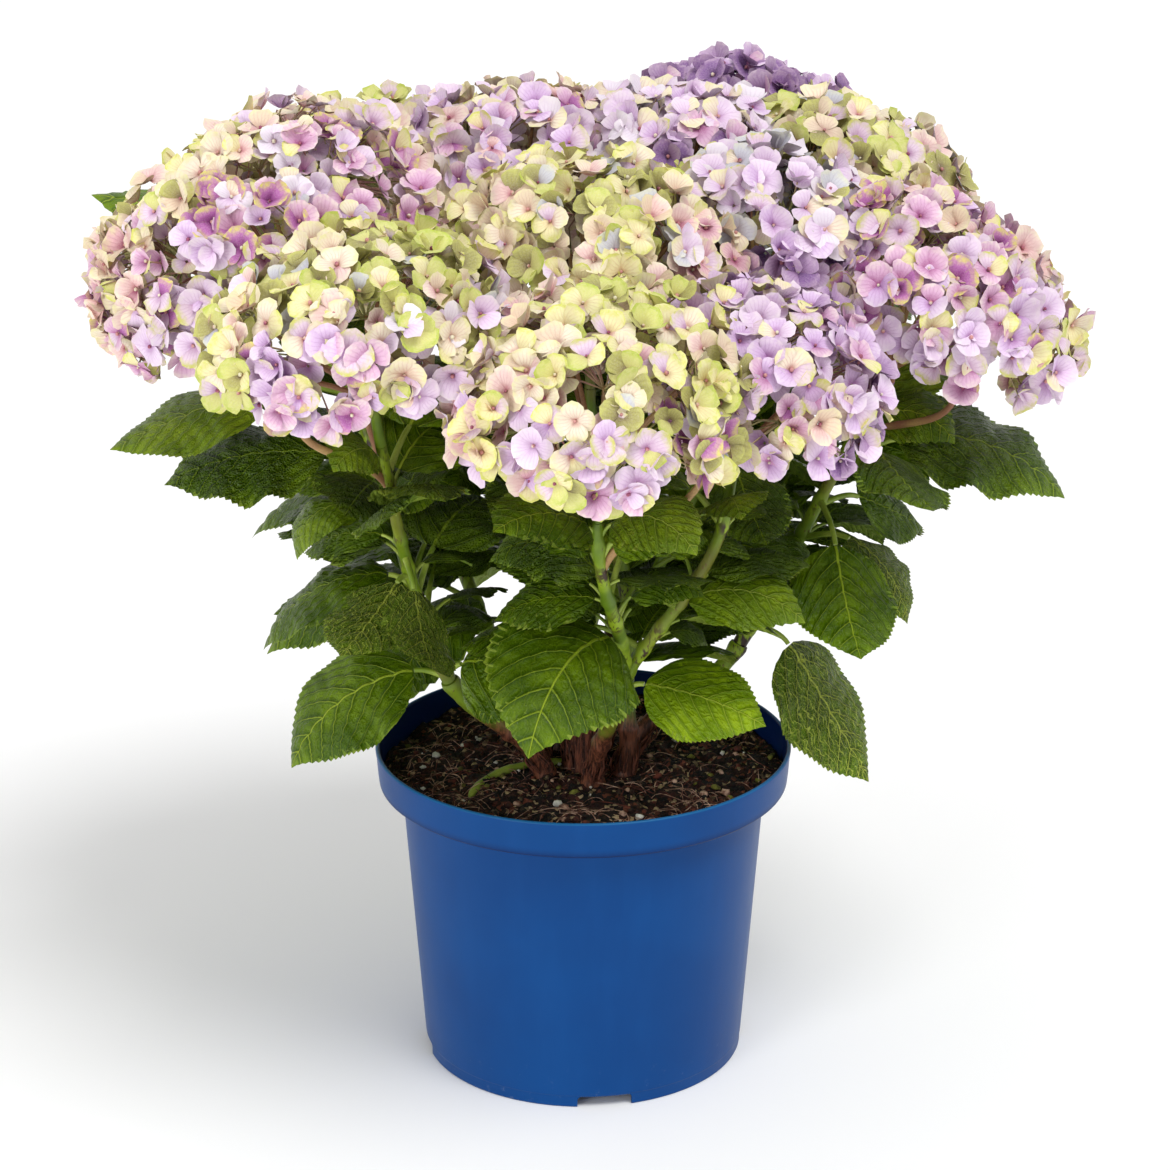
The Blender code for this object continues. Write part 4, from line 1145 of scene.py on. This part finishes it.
def add_leaf(sprays, leaf, look, rng, teeth=LEAF_TEETH, columns=LEAF_COLUMNS):
    """A closed blade with toothed edges: its upper and lower sheets meet along them."""
    under = rng.choice(UNDERSIDES)
    rows = teeth * 2 + 1
    shares = np.linspace(0.012, 0.996, rows)
    columns = np.array([-c for c in columns[:0:-1]] + list(columns))
    frames = [leaf_frame(leaf, float(t)) for t in shares]
    place, side, up = (np.array([f[k] for f in frames])[:, None, :] for k in range(3))
    half = (leaf.length * LEAF_WIDTH / 2 * np.interp(shares, FINE_SHARES, FINE_WIDTHS))[:, None]
    ahead = np.gradient(place[:, 0, :], axis=0)[:, None, :]
    x = np.broadcast_to(columns, (rows, len(columns)))
    t = np.broadcast_to(shares[:, None], x.shape)
    peak = np.where(np.arange(rows) % 2 == 1, 1.0, 0.0)[:, None]
    jagged = 0.015 if look in RUGGED else 0.011
    tooth = peak * np.clip(half / leaf.length * 5, 0, 1) * np.clip((np.abs(x) - 0.80) / 0.20, 0, 1)
    uneven = 1 + 0.015 * np.sin(t * 19 + rng.uniform(0, 6))
    lateral = x * half * uneven + np.sign(x) * tooth * leaf.length * jagged
    away = np.abs(lateral) / leaf.length
    phase = (t - VEIN_SLANT * away - VEIN_CURVE * away**2) * LEAF_VEINS
    relief = 1 - (1 - 2 * np.abs(phase - np.round(phase))) ** 2
    fade = np.clip(half / leaf.length * 6, 0, 1) * (1 - 0.75 * np.abs(x) ** 3)
    swell = leaf.length * LEAF_PILLOW * relief * fade
    groove = -leaf.length * 0.006 * np.exp(-((x / 0.05) ** 2)) * fade
    ruffle = half * (0.10 if look == RUFFLED else 0.05)
    phase = t * rng.uniform(13, 21) + np.sign(x) * rng.uniform(0, 2) + rng.uniform(0, 6)
    wave = ruffle * np.sin(phase) * x**2
    height = swell + groove + wave - LEAF_DROOP * half * (0.35 * np.abs(x) + 0.65 * x**2)
    top = place + side * lateral[..., None] + up * height[..., None] + ahead * (tooth * 0.75)[..., None]
    body = np.clip(half / leaf.length * 8, 0.1, 1)
    thick = leaf.length * 0.006 * (1 - np.abs(x) ** 4) * body
    ridge = leaf.length * 0.010 * np.exp(-((x / 0.07) ** 2)) * body
    bottom = top - up * (thick + ridge)[..., None]
    bottom[:, 0], bottom[:, -1] = top[:, 0], top[:, -1]
    across = np.clip((lateral / leaf.length).ravel(), -LEAF_MAP_SPAN / 2, LEAF_MAP_SPAN / 2)
    faces = grid_faces(rows, len(columns))
    for sheet, kind, flip in ((top, look, -1), (bottom, under, 1)):
        places = tile_places(0.5 + across / LEAF_MAP_SPAN, 0.02 + 0.96 * t.ravel(), kind, LEAF_TILES)
        sprays.add(sheet.reshape(x.size, 3), faces[:, ::flip], kind, places)


def leaf_line(leaf):
    """A curve along the petiole, from inside the stem to the blade's foot."""
    first = leaf_frame(leaf, 0.0)[0]
    way = (leaf_frame(leaf, 0.06)[0] - first).normalized()
    return curve_between(leaf.root, (leaf.rise_way + UP * 0.12).normalized(), first, way)


def plan_young(canes, leaves, obstacles):
    """Tip leaves, and young leaves from the axils along each shoot wherever one has room."""
    rng = random.Random(f"{SEED} young leaves")
    taken = obstacles + [(name, leaf_tree(leaf)) for name, group in leaves.items() for leaf in group]
    young = {name: [] for name in canes}
    for (name, number, share, heading, *posture), look in zip(TIP_LEAVES, TIP_LOOKS):
        way = rotation(radians(heading)) @ EAST
        leaf = new_leaf(place_at(canes[name].shoots[number].curve, share), way, *posture)
        leaf.look = int(look)
        young[name].append(leaf)
        taken.append((name, leaf_tree(leaf)))
    shoots = [(cane, shoot) for cane in canes.values() for shoot in cane.shoots]
    for cane, place in [(cane, place_at(shoot.curve, t)) for cane, shoot in shoots for t in YOUNG_SHARES]:
        for attempt in range(YOUNG_TRIES):
            heading = rng.uniform(0, tau)
            if cane.name in OPEN_CANES and sin(heading) < -0.3:
                heading = -heading
            length = rng.uniform(*YOUNG_LENGTHS) * (1 - 0.05 * attempt)
            tilts = rng.uniform(-15, 45), rng.uniform(-70, -5), rng.uniform(-25, 25)
            leaf = new_leaf(place, way_to(heading), length, *tilts, rng.uniform(0.004, 0.016))
            leaf.look = rng.choice(YOUNG_LOOKS)
            if finds_room(leaf, cane.name, taken, YOUNG_GAP):
                young[cane.name].append(leaf)
                break
    return young


def make_leaves(leaves, young):
    paints = [leaf_paint(number, *look) for number, look in enumerate(LEAF_LOOKS)]
    rng = random.Random(f"{SEED} leaf looks")
    for group, names in LEAF_GROUPS.items():
        sprays = Sprays()
        for name in names:
            for leaf in young[name]:
                add_leaf(sprays, leaf, leaf.look, rng, YOUNG_TEETH, YOUNG_COLUMNS)
            for leaf in leaves[name]:
                look = leaf.look if leaf.look is not None else rng.choice(GROWN_LOOKS)
                add_leaf(sprays, leaf, look, rng)
        sprays.settle("leaves_" + group, paints, ["foliage_" + name for name in names], "leaf")


# Stems


def stem_paint():
    """Green young wood, browner at the foot, with purple-brown streaks and warts."""
    paint = Paint("stem_green")
    place = paint.object_place()
    patch = paint.noise(place, 42, 3.0)
    streaks = paint.noise(paint.stretch(place, 1, 1, 0.14), 620, 3.0, 0.6)
    blotch = paint.step(paint.noise(paint.stretch(place, 1, 1, 0.4), 120, 3.0, 0.65), 0.50, 0.58)
    mottled = (paint.step(streaks, 0.54, 0.66) | blotch) * paint.step(patch, 0.44, 0.60)
    rusty = paint.step(paint.noise(place, 16), 0.54, 0.66, 0.0, 0.45)
    spots = paint.step(paint.voronoi(paint.stretch(place, 1, 1, 0.5), 330), 0.20, 0.10)
    bark = paint.mix(paint.step(streaks, 0.38, 0.62), (0.24, 0.12, 0.08), (0.52, 0.31, 0.22))
    low = paint.step(paint.split(place)[2] - (patch * 0.03 + (SOIL_TOP + 0.020)), 0.012, -0.006)
    colour = paint.mix(paint.step(patch, 0.34, 0.66), (0.35, 0.46, 0.05), (0.58, 0.68, 0.13))
    colour = paint.mix(mottled, colour, (0.21, 0.12, 0.06))
    colour = paint.mix(rusty, colour, (0.46, 0.34, 0.16))
    colour = paint.mix(spots * 0.7, colour, (0.42, 0.30, 0.18))
    return paint.finish(paint.mix(low, colour, bark), paint.bump(streaks * 0.7 + spots, 0.5, 0.0006))


def petiole_paint():
    grain = (0.4, 0.8, 0.0, 0.35), (0.40, 0.50, 0.18)
    dark, light = (0.48, 0.58, 0.16), (0.66, 0.73, 0.30)
    return grainy_paint("petiole", 0.45, 60, 2.0, (0.35, 0.65), dark, light, 1300, (0.3, 0.0003), grain)


def swollen(radius_at, knots, length):
    """A limb's radius with a ring where each pair of leaves leaves it."""

    def radius(t):
        swell = sum(exp(-(((t - knot) * length / 0.0035) ** 2)) for knot in knots)
        return radius_at(t) * (1 + 0.26 * min(1, swell) + 0.02 * sin(t * 91))

    return radius


def make_stems(canes, leaves, young):
    stems, petioles = Sprays(), Sprays()
    for cane in canes.values():
        length = (cane.curve[3] - cane.curve[0]).length
        tube(stems, cane.curve, swollen(cane_radius, (0.0, 0.42, 0.97), length), 16, 48)
        for number, shoot in enumerate(cane.shoots):
            span = (shoot.curve[3] - shoot.curve[0]).length
            knots = [pair[0] for pair in SHOOT_PAIRS] + [LOW_PAIR[0]]
            tube(stems, shoot.curve, swollen(lambda t: shoot_radius(number, t), knots, span), 14, 56)
            tube(stems, stalk_curve(shoot.bloom), lambda t: SHOOT_TIP_RADIUS * (1 - 0.2 * t), 10, 6)
        for leaf in leaves[cane.name]:
            tube(petioles, leaf_line(leaf), lambda t: PETIOLE_RADIUS * (1.25 - 0.4 * t), 8, 10)
        for leaf in young[cane.name]:
            tube(petioles, leaf_line(leaf), lambda t: PETIOLE_RADIUS * (0.85 - 0.3 * t), 6, 6)
    stems.settle("stems", [stem_paint()], ["cane_" + name for name in canes], "green_stem")
    petioles.settle("petioles", [petiole_paint()], ["foliage_" + name for name in canes], "green_stem")


# Pot


def arc(middle, radius, first, last, steps):
    """Points of a round corner, in degrees from straight out, as radius and height."""
    turns = [radians(first + (last - first) * step / steps) for step in range(steps + 1)]
    return [(middle[0] + radius * cos(turn), middle[1] + radius * sin(turn)) for turn in turns]


def pot_profile():
    """The pot's section: from under its middle up the wall, over the lip and down to the inner floor."""
    foot, neck, collar, lip = POT_FOOT_RADIUS, POT_NECK_RADIUS, POT_COLLAR_RADIUS, 0.0012
    step_radius = foot + WALL_SLOPE * FOOT_STEP_HEIGHT
    inner_foot = foot - POT_FOOT_RING
    points = [(0, 0), (POT_PAD_RADIUS, 0), (POT_PAD_RADIUS + 0.001, POT_RECESS), (inner_foot, POT_RECESS)]
    points += [(inner_foot, 0), *arc((foot - 0.0010, 0.0010), 0.0010, -90, 0, 4)]
    points += [(foot + 0.0001, FOOT_STEP_HEIGHT - 0.0012)]
    points += arc((step_radius - 0.0008, FOOT_STEP_HEIGHT), 0.0008, -50, 4, 3)
    for share in (0.06, 0.2, 0.35, 0.5, 0.65, 0.8, 0.93):
        height = FOOT_STEP_HEIGHT + (COLLAR_FOOT - FOOT_STEP_HEIGHT) * share
        points.append((foot + WALL_SLOPE * height, height))
    points += [(neck - 0.0001, COLLAR_FOOT - 0.0030), (neck + 0.0004, COLLAR_FOOT - 0.0010)]
    points += [(neck + 0.0016, COLLAR_FOOT), (collar - 0.0022, COLLAR_FOOT + 0.0008)]
    points += arc((collar - 0.0016, COLLAR_FOOT + 0.0024), 0.0016, -80, 0, 4)
    points += [(collar + 0.0006, COLLAR_FOOT + 0.0080), (collar + 0.0012, POT_HEIGHT - 0.0050)]
    points += arc((POT_RIM_RADIUS - lip, POT_HEIGHT - lip), lip, -10, 190, 9)
    points += [(collar - POT_WALL + 0.0004, POT_HEIGHT - 0.009), (collar - POT_WALL, COLLAR_FOOT + 0.0032)]
    points += [(neck - POT_WALL, COLLAR_FOOT + 0.0012)]
    return points + [(foot - POT_WALL + WALL_SLOPE * POT_FLOOR, POT_FLOOR), (0, POT_FLOOR)]


def plain_object(name, points, faces):
    """An object with its faces turned outwards."""
    mesh = bpy.data.meshes.new(name)
    mesh.from_pydata([tuple(p) for p in points], [], [tuple(f) for f in faces])
    shape = bmesh.new()
    shape.from_mesh(mesh)
    bmesh.ops.recalc_face_normals(shape, faces=shape.faces)
    shape.to_mesh(mesh)
    shape.free()
    return link(name, mesh)


def notch_shape(turn):
    """A block with rounded upper corners that cuts one notch out of the foot."""
    outline = [(-NOTCH_WIDTH / 2, -0.004), (NOTCH_WIDTH / 2, -0.004)]
    corner = 0.0022
    for side, first in ((1, 0), (-1, 90)):
        middle = (side * (NOTCH_WIDTH / 2 - corner), NOTCH_HEIGHT - corner)
        outline += arc(middle, corner, first, first + 90, 5)
    reaches = POT_FOOT_RADIUS + 0.01, POT_FOOT_RADIUS - 0.012
    return loft([[rotation(turn) @ Vector((x, -reach, z)) for x, z in outline] for reach in reaches])


def drain_shape(number):
    middle = way_to(tau * (number + 0.5) / DRAIN_COUNT) * DRAIN_REACH
    heights = POT_RECESS - 0.003, POT_FLOOR + 0.003
    return loft([[middle + Vector(p) for p in ring(DRAIN_RADIUS, z, 24)] for z in heights])


def pot_paint():
    """Moulded blue plastic: satin, with a fine grain, faint flow marks and grey dust towards the bottom, a
    painted highlight along the lip and painted shade on the inner wall.
    """
    paint = Paint("blue_plastic", specular=0.15)
    place = paint.object_place()
    x, y, height = paint.split(place)
    flow = paint.noise(paint.stretch(place, 1, 1, 0.16), 60, 3.0, 0.6)
    dust = paint.step(paint.noise(place, 190, 4.0, 0.7), 0.60, 0.74) * paint.step(height, 0.03, 0.0)
    away = paint.value("ShaderNodeVectorMath", (paint.join(x, y),), "Value", operation="LENGTH")
    # Painted shade: this mask picks the inner wall above the collar's foot, which is painted dark blue.
    inside = paint.step(away, POT_COLLAR_RADIUS + 0.0004, POT_COLLAR_RADIUS - 0.0004)
    inside = inside * paint.step(height, POT_HEIGHT - 0.0215, POT_HEIGHT - 0.0205)
    colour = paint.mix(paint.step(paint.noise(place, 14, 3.0), 0.3, 0.7), POT_BLUE, POT_BLUE_DEEP)
    colour = paint.mix(paint.step(flow, 0.42, 0.75, 0.0, 0.10), colour, (0.08, 0.33, 0.60))
    colour = paint.mix(dust * 0.25, colour, (0.55, 0.60, 0.66))
    # Painted highlight: a lighter band along the top of the lip.
    lip = paint.step(height, POT_HEIGHT - 0.0013, POT_HEIGHT - 0.0003, 0.0, 0.55)
    colour = paint.mix(lip, colour, (0.16, 0.46, 0.66))
    # Painted shade on the inner wall
    colour = paint.mix(inside, colour, (0.0, 0.12, 0.32))
    bumps = paint.noise(place, 1500, 2.0, 0.6) * 0.5 + flow * 0.6
    return paint.finish(colour, paint.bump(bumps, 0.16, 0.0005), flow * 0.16 + 0.30)


def make_pot():
    pot = plain_object("pot_shell", *turned(pot_profile(), POT_SIDES))
    turns = [NOTCH_TURN + tau * n / NOTCH_COUNT for n in range(NOTCH_COUNT)]
    tools = [plain_object("notch", *notch_shape(turn)) for turn in turns]
    tools += [plain_object("drain", *drain_shape(n)) for n in range(DRAIN_COUNT)]
    for tool in tools:
        modifier = pot.modifiers.new(tool.name, "BOOLEAN")
        modifier.operation = "DIFFERENCE"
        modifier.object = tool
    graph = bpy.context.evaluated_depsgraph_get()
    mesh = bpy.data.meshes.new_from_object(pot.evaluated_get(graph))
    pot.modifiers.clear()
    pot.data = mesh
    for tool in tools:
        bpy.data.objects.remove(tool)
    mesh.shade_smooth()
    mesh.set_sharp_from_angle(angle=radians(42))
    mesh.materials.append(pot_paint())
    settle_piece(pot, ["pot"], "blue_plastic")


# Compost and old wood


def compost_paint():
    """Dark brown peat and bark, with rusty and tan fibre in it."""
    paint = Paint("compost", 0.94)
    place = paint.object_place()
    clods = paint.noise(place, 95, 5.0, 0.7)
    colour = paint.mix(paint.step(clods, 0.42, 0.62), (0.012, 0.004, 0.004), (0.25, 0.105, 0.080))
    tones = paint.split(paint.voronoi(place, 420, "Color"))
    colour = paint.mix(paint.step(tones[0], 0.74, 0.96, 0.0, 0.85), colour, (0.48, 0.26, 0.19))
    colour = paint.mix(paint.step(tones[1], 0.85, 0.96, 0.0, 0.95), colour, (0.74, 0.64, 0.50))
    colour = paint.mix(paint.step(tones[2], 0.45, 0.90, 0.0, 0.8), colour, (0.05, 0.03, 0.025))
    return paint.finish(colour, paint.bump(clods - paint.voronoi(place, 420) * 0.6, 1.0, 0.0022))


def fibre_paint(name, dark, light):
    return grainy_paint(name, 0.85, 260, 3.0, (0.35, 0.66), dark, light, 2400, (0.6, 0.0004))


def compost_point(x, y):
    """A place on the compost's own waves, with clods and crumbs on them."""
    spot = Vector((x, y, 0))
    clods = sum(noise.noise(spot * scale) * height for scale, height in CLODS)
    return Vector((x, y, soil_height(x, y) + clods))


def make_compost():
    gap = CLEAR + POT_WALL
    edge = POT_COLLAR_RADIUS - gap - 0.0002
    wall = [(POT_FOOT_RADIUS - gap - 0.0004 + WALL_SLOPE * POT_FLOOR, POT_FLOOR + CLEAR)]
    wall += [(POT_NECK_RADIUS - gap - 0.0004, COLLAR_FOOT + 0.0019), (edge - 0.0012, COLLAR_FOOT + 0.0040)]
    rows = [ring(*place, COMPOST_SIDES) for place in wall]
    for row in range(COMPOST_ROWS):
        spots = ring(edge * (1 - row / COMPOST_ROWS), 0, COMPOST_SIDES, 0.5 * (row % 2))
        rows.append([compost_point(x, y) for x, y, _ in spots])
    body = Sprays()
    body.add_rings(rows, ends=((0, 0, POT_FLOOR + CLEAR), compost_point(0, 0)))
    body.settle("compost_body", [compost_paint()], ["compost"], "compost")

    rng = random.Random(f"{SEED} compost")
    lumps, fibres, grit = Sprays(), Sprays(), Sprays()
    ball, ball_faces = sphere_points(4, 6)

    def spot():
        radius, angle = (edge - 0.003) * sqrt(rng.random()), rng.uniform(0, tau)
        return compost_point(radius * cos(angle), radius * sin(angle))

    def lump(sprays, place, lift, size, paint=0):
        rough = np.array([rng.uniform(0.72, 1.2) for _ in ball])[:, None]
        squash = np.array([rng.uniform(0.7, 1.5), rng.uniform(0.7, 1.3), rng.uniform(0.5, 0.9)])
        spun = (ball * rough * squash * size) @ np.array(rotation(rng.uniform(0, tau)))
        sprays.add(np.array(place + UP * lift) + spun, ball_faces, paint)

    for _ in range(CRUMBS):
        size = rng.uniform(0.0006, 0.0021)
        lump(lumps, spot(), size * 0.2, size)
    clumps = [spot() for _ in range(FIBRE_CLUMPS)]
    for _ in range(FIBRES):
        start = spot()
        if rng.random() < CLUMPED_SHARE:
            middle = rng.choice(clumps)
            start.x = middle.x + rng.gauss(0, CLUMP_SPREAD)
            start.y = middle.y + rng.gauss(0, CLUMP_SPREAD)
        if hypot(start.x, start.y) > edge - 0.003:
            continue
        start = compost_point(start.x, start.y)
        way = way_to(rng.uniform(0, tau), rng.uniform(-0.25, 0.35))
        end = start + way * rng.choice((0.005, 0.008, 0.012, 0.019)) * rng.uniform(0.8, 1.2)
        if hypot(end.x, end.y) > edge - 0.002:
            continue
        end = compost_point(end.x, end.y) + UP * rng.uniform(0, 0.0022)
        bow = Vector((rng.uniform(-1, 1), rng.uniform(-1, 1), rng.uniform(0.1, 1.1))).normalized()
        curve = curve_between(start, (way + bow).normalized(), end, (way - bow * 0.8).normalized(), 0.4)
        thick = rng.uniform(0.00013, 0.00036)
        tube(fibres, curve, lambda t: thick * (1.1 - 0.5 * t), 4, 6, paint=rng.choice((0, 0, 1, 1, 1)))
    for _ in range(SCRAPS):
        lump(fibres, spot(), 0.0006, rng.uniform(0.0010, 0.0028), paint=rng.choice((0, 0, 1, 2)))
    for _ in range(GRAINS):
        lump(grit, spot(), 0.0008, rng.uniform(0.0006, 0.0017))
    for place in PERLITE:
        lump(grit, compost_point(*place), 0.0012, 0.0024)
    lumps.settle("compost_crumbs", [compost_paint()], ["compost"], "compost")
    paints = [fibre_paint("bark_fibre", (0.20, 0.09, 0.07), (0.46, 0.22, 0.16))]
    paints.append(fibre_paint("straw_fibre", (0.44, 0.27, 0.21), (0.86, 0.71, 0.62)))
    paints.append(fibre_paint("moss", (0.28, 0.27, 0.08), (0.50, 0.50, 0.20)))
    fibres.settle("compost_fibres", paints, ["compost"], "compost")
    white = fibre_paint("perlite", (0.80, 0.79, 0.76), (0.94, 0.93, 0.90))
    grit.settle("compost_perlite", [white], ["compost"], "compost")


def make_fallen_stalk():
    """A soft green stalk that lies on the compost between the canes, with blunt ends."""
    a, b, c, d = (compost_point(x, y) + UP * FALLEN_RADIUS * 0.6 for x, y in FALLEN_STALK)

    def radius(t):
        blunt = min(1, sqrt(max(0.0, t * 14))) * min(1, sqrt(max(0.0, (1 - t) * 10)))
        return FALLEN_RADIUS * (0.16 + 0.84 * blunt) * (1 + 0.10 * sin(t * 17) + 0.05 * sin(t * 53))

    stalk = Sprays()
    tube(stalk, curve_between(a, (b - a).normalized(), d, (d - c).normalized(), 0.42), radius, 18, 60)
    stalk.settle("fallen_stalk", [petiole_paint()], ["compost"], "green_stem")


def bark_paint():
    """Old reddish-brown bark that peels in strips."""
    paint = Paint("old_bark", 0.88)
    long = paint.stretch(paint.object_place(), 1, 1, 0.16)
    strips = paint.noise(long, 420, 4.0, 0.65)
    colour = paint.mix(paint.step(strips, 0.36, 0.64), (0.20, 0.10, 0.075), (0.50, 0.28, 0.20))
    colour = paint.mix(paint.step(paint.noise(long, 900), 0.58, 0.74, 0.0, 0.55), colour, (0.64, 0.44, 0.33))
    return paint.finish(colour, paint.bump(strips, 1.0, 0.0018))


def make_old_wood(canes):
    """The stump's shaggy bark, with splinters and loose strips round it and the canes' feet."""
    rng = random.Random(f"{SEED} old wood")
    sprays = Sprays()
    rings = []
    for row in range(BARK_ROWS):
        share = row / (BARK_ROWS - 1)
        width = np.interp(share, (0, 0.22, 0.7, 1), (1.25, 1.0, 0.86, 0.70))
        rings.append([])
        for angle in (tau * i / BARK_SIDES for i in range(BARK_SIDES)):
            spot = Vector((cos(angle) * 2.4, sin(angle) * 2.4, share * 0.7))
            strips = noise.noise(spot * 2.6) * 0.14 + abs(noise.noise(spot * 6.5)) * 0.20
            radius = OLD_WOOD_RADIUS * width * (0.92 + 0.14 * sin(angle * 3 + share * 2) * 0.7 + strips)
            ragged = 0.0032 * noise.noise(way_to(angle, 3) * 5) * share**3
            height = SOIL_TOP - 0.001 + (OLD_WOOD_HEIGHT + 0.001) * share + ragged
            x, y = radius * cos(angle) + 0.004 * share, radius * sin(angle) - 0.005 * share
            rings[-1].append((x, y, height))
    top = (0.004, -0.005, SOIL_TOP + OLD_WOOD_HEIGHT - 0.005)
    sprays.add_rings(rings, ends=((0, 0, SOIL_TOP - 0.001), top))

    def strip(start, end, out, flare, lean, thick):
        way = (UP + out * rng.uniform(*lean)).normalized()
        curve = curve_between(start, (UP + out * flare).normalized(), end, way)
        width = rng.uniform(*thick)
        tube(sprays, curve, lambda t: width * (1.1 - 0.8 * t), 5, 6)

    for _ in range(SPLINTERS):
        out = way_to(rng.uniform(0, tau))
        low = rng.uniform(0, 0.6)
        high = min(1.0, low + rng.uniform(0.15, 0.5))
        start = out * OLD_WOOD_RADIUS + UP * (SOIL_TOP + OLD_WOOD_HEIGHT * low)
        end = out * OLD_WOOD_RADIUS * rng.uniform(0.95, 1.35) + UP * (SOIL_TOP + OLD_WOOD_HEIGHT * high)
        strip(start, end, out, 0.2, (-0.6, 0.6), (0.0004, 0.0011))
    for cane in canes.values():
        for _ in range(STRIPS):
            low, high = rng.uniform(0, 0.10), rng.uniform(0.08, 0.24)
            out = way_to(rng.uniform(0, tau))
            start = place_at(cane.curve, low) + out * CANE_FOOT_RADIUS * rng.uniform(0.95, 1.15)
            end = place_at(cane.curve, low + high) + out * CANE_FOOT_RADIUS * rng.uniform(0.85, 1.25)
            strip(start, end, out, 0.3, (-0.8, 0.6), (0.0005, 0.0012))
    nodes = ["old_wood"] + ["cane_" + name for name in canes]
    sprays.settle("old_wood_bark", [bark_paint()], nodes, "old_bark")


# Stage


def make_stage():
    paint = Paint("floor", 0.9)
    grain = paint.noise(paint.object_place(), 260, 3.0)
    paint.finish(paint.mix(grain * 0.04, (0.985, 0.985, 0.985), (0.94, 0.94, 0.94)))
    mesh = bpy.data.meshes.new("floor")
    corners = [(x * FLOOR_REACH, y * FLOOR_REACH, 0) for x, y in ((-1, -1), (1, -1), (1, 1), (-1, 1))]
    mesh.from_pydata(corners, [], [(0, 1, 2, 3)])
    mesh.materials.append(paint.material)
    floor = link("floor", mesh)
    floor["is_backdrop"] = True


def make_lights():
    fill = link("fill", bpy.data.lights.new("fill", "AREA"))
    fill.data.size = FILL_SIZE
    fill.data.energy = FILL_POWER
    fill.data.color = FILL_COLOUR
    fill.location = FILL_PLACE
    fill.rotation_euler = (FILL_AIM - fill.location).to_track_quat("-Z", "Y").to_euler()
    key = link("key", bpy.data.lights.new("key", "SUN"))
    key.data.angle = KEY_SPREAD
    key.data.energy = KEY_POWER
    key.rotation_euler = KEY_WAY.to_track_quat("Z", "Y").to_euler()
    world = bpy.data.worlds.new("studio")
    world.use_nodes = True
    sky = world.node_tree.nodes["Background"]
    sky.inputs["Color"].default_value = (1, 1, 1, 1)
    sky.inputs["Strength"].default_value = SKY_POWER
    bpy.context.scene.world = world


def make_camera():
    camera = link("camera", bpy.data.cameras.new("camera"))
    camera.data.lens = CAMERA_LENS
    camera.data.sensor_width = 36
    camera.data.clip_end = 50
    camera.location = CAMERA_PLACE
    camera.rotation_euler = (radians(CAMERA_PITCH), 0, 0)
    bpy.context.scene.camera = camera


bpy.context.scene.view_settings.view_transform = "Standard"
make_camera()
make_lights()
make_stage()
blooms = plan_blooms()
canes = plan_canes(blooms)
obstacles = plan_obstacles(blooms, canes)
leaves = plan_leaves(canes, obstacles)
young = plan_young(canes, leaves, obstacles)
make_heads(blooms, canes)
make_leaves(leaves, young)
make_stems(canes, leaves, young)
make_pot()
make_compost()
make_fallen_stalk()
make_old_wood(canes)

{"cad": [list(v) for v in cad_box], "visual": [list(v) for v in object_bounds()]}
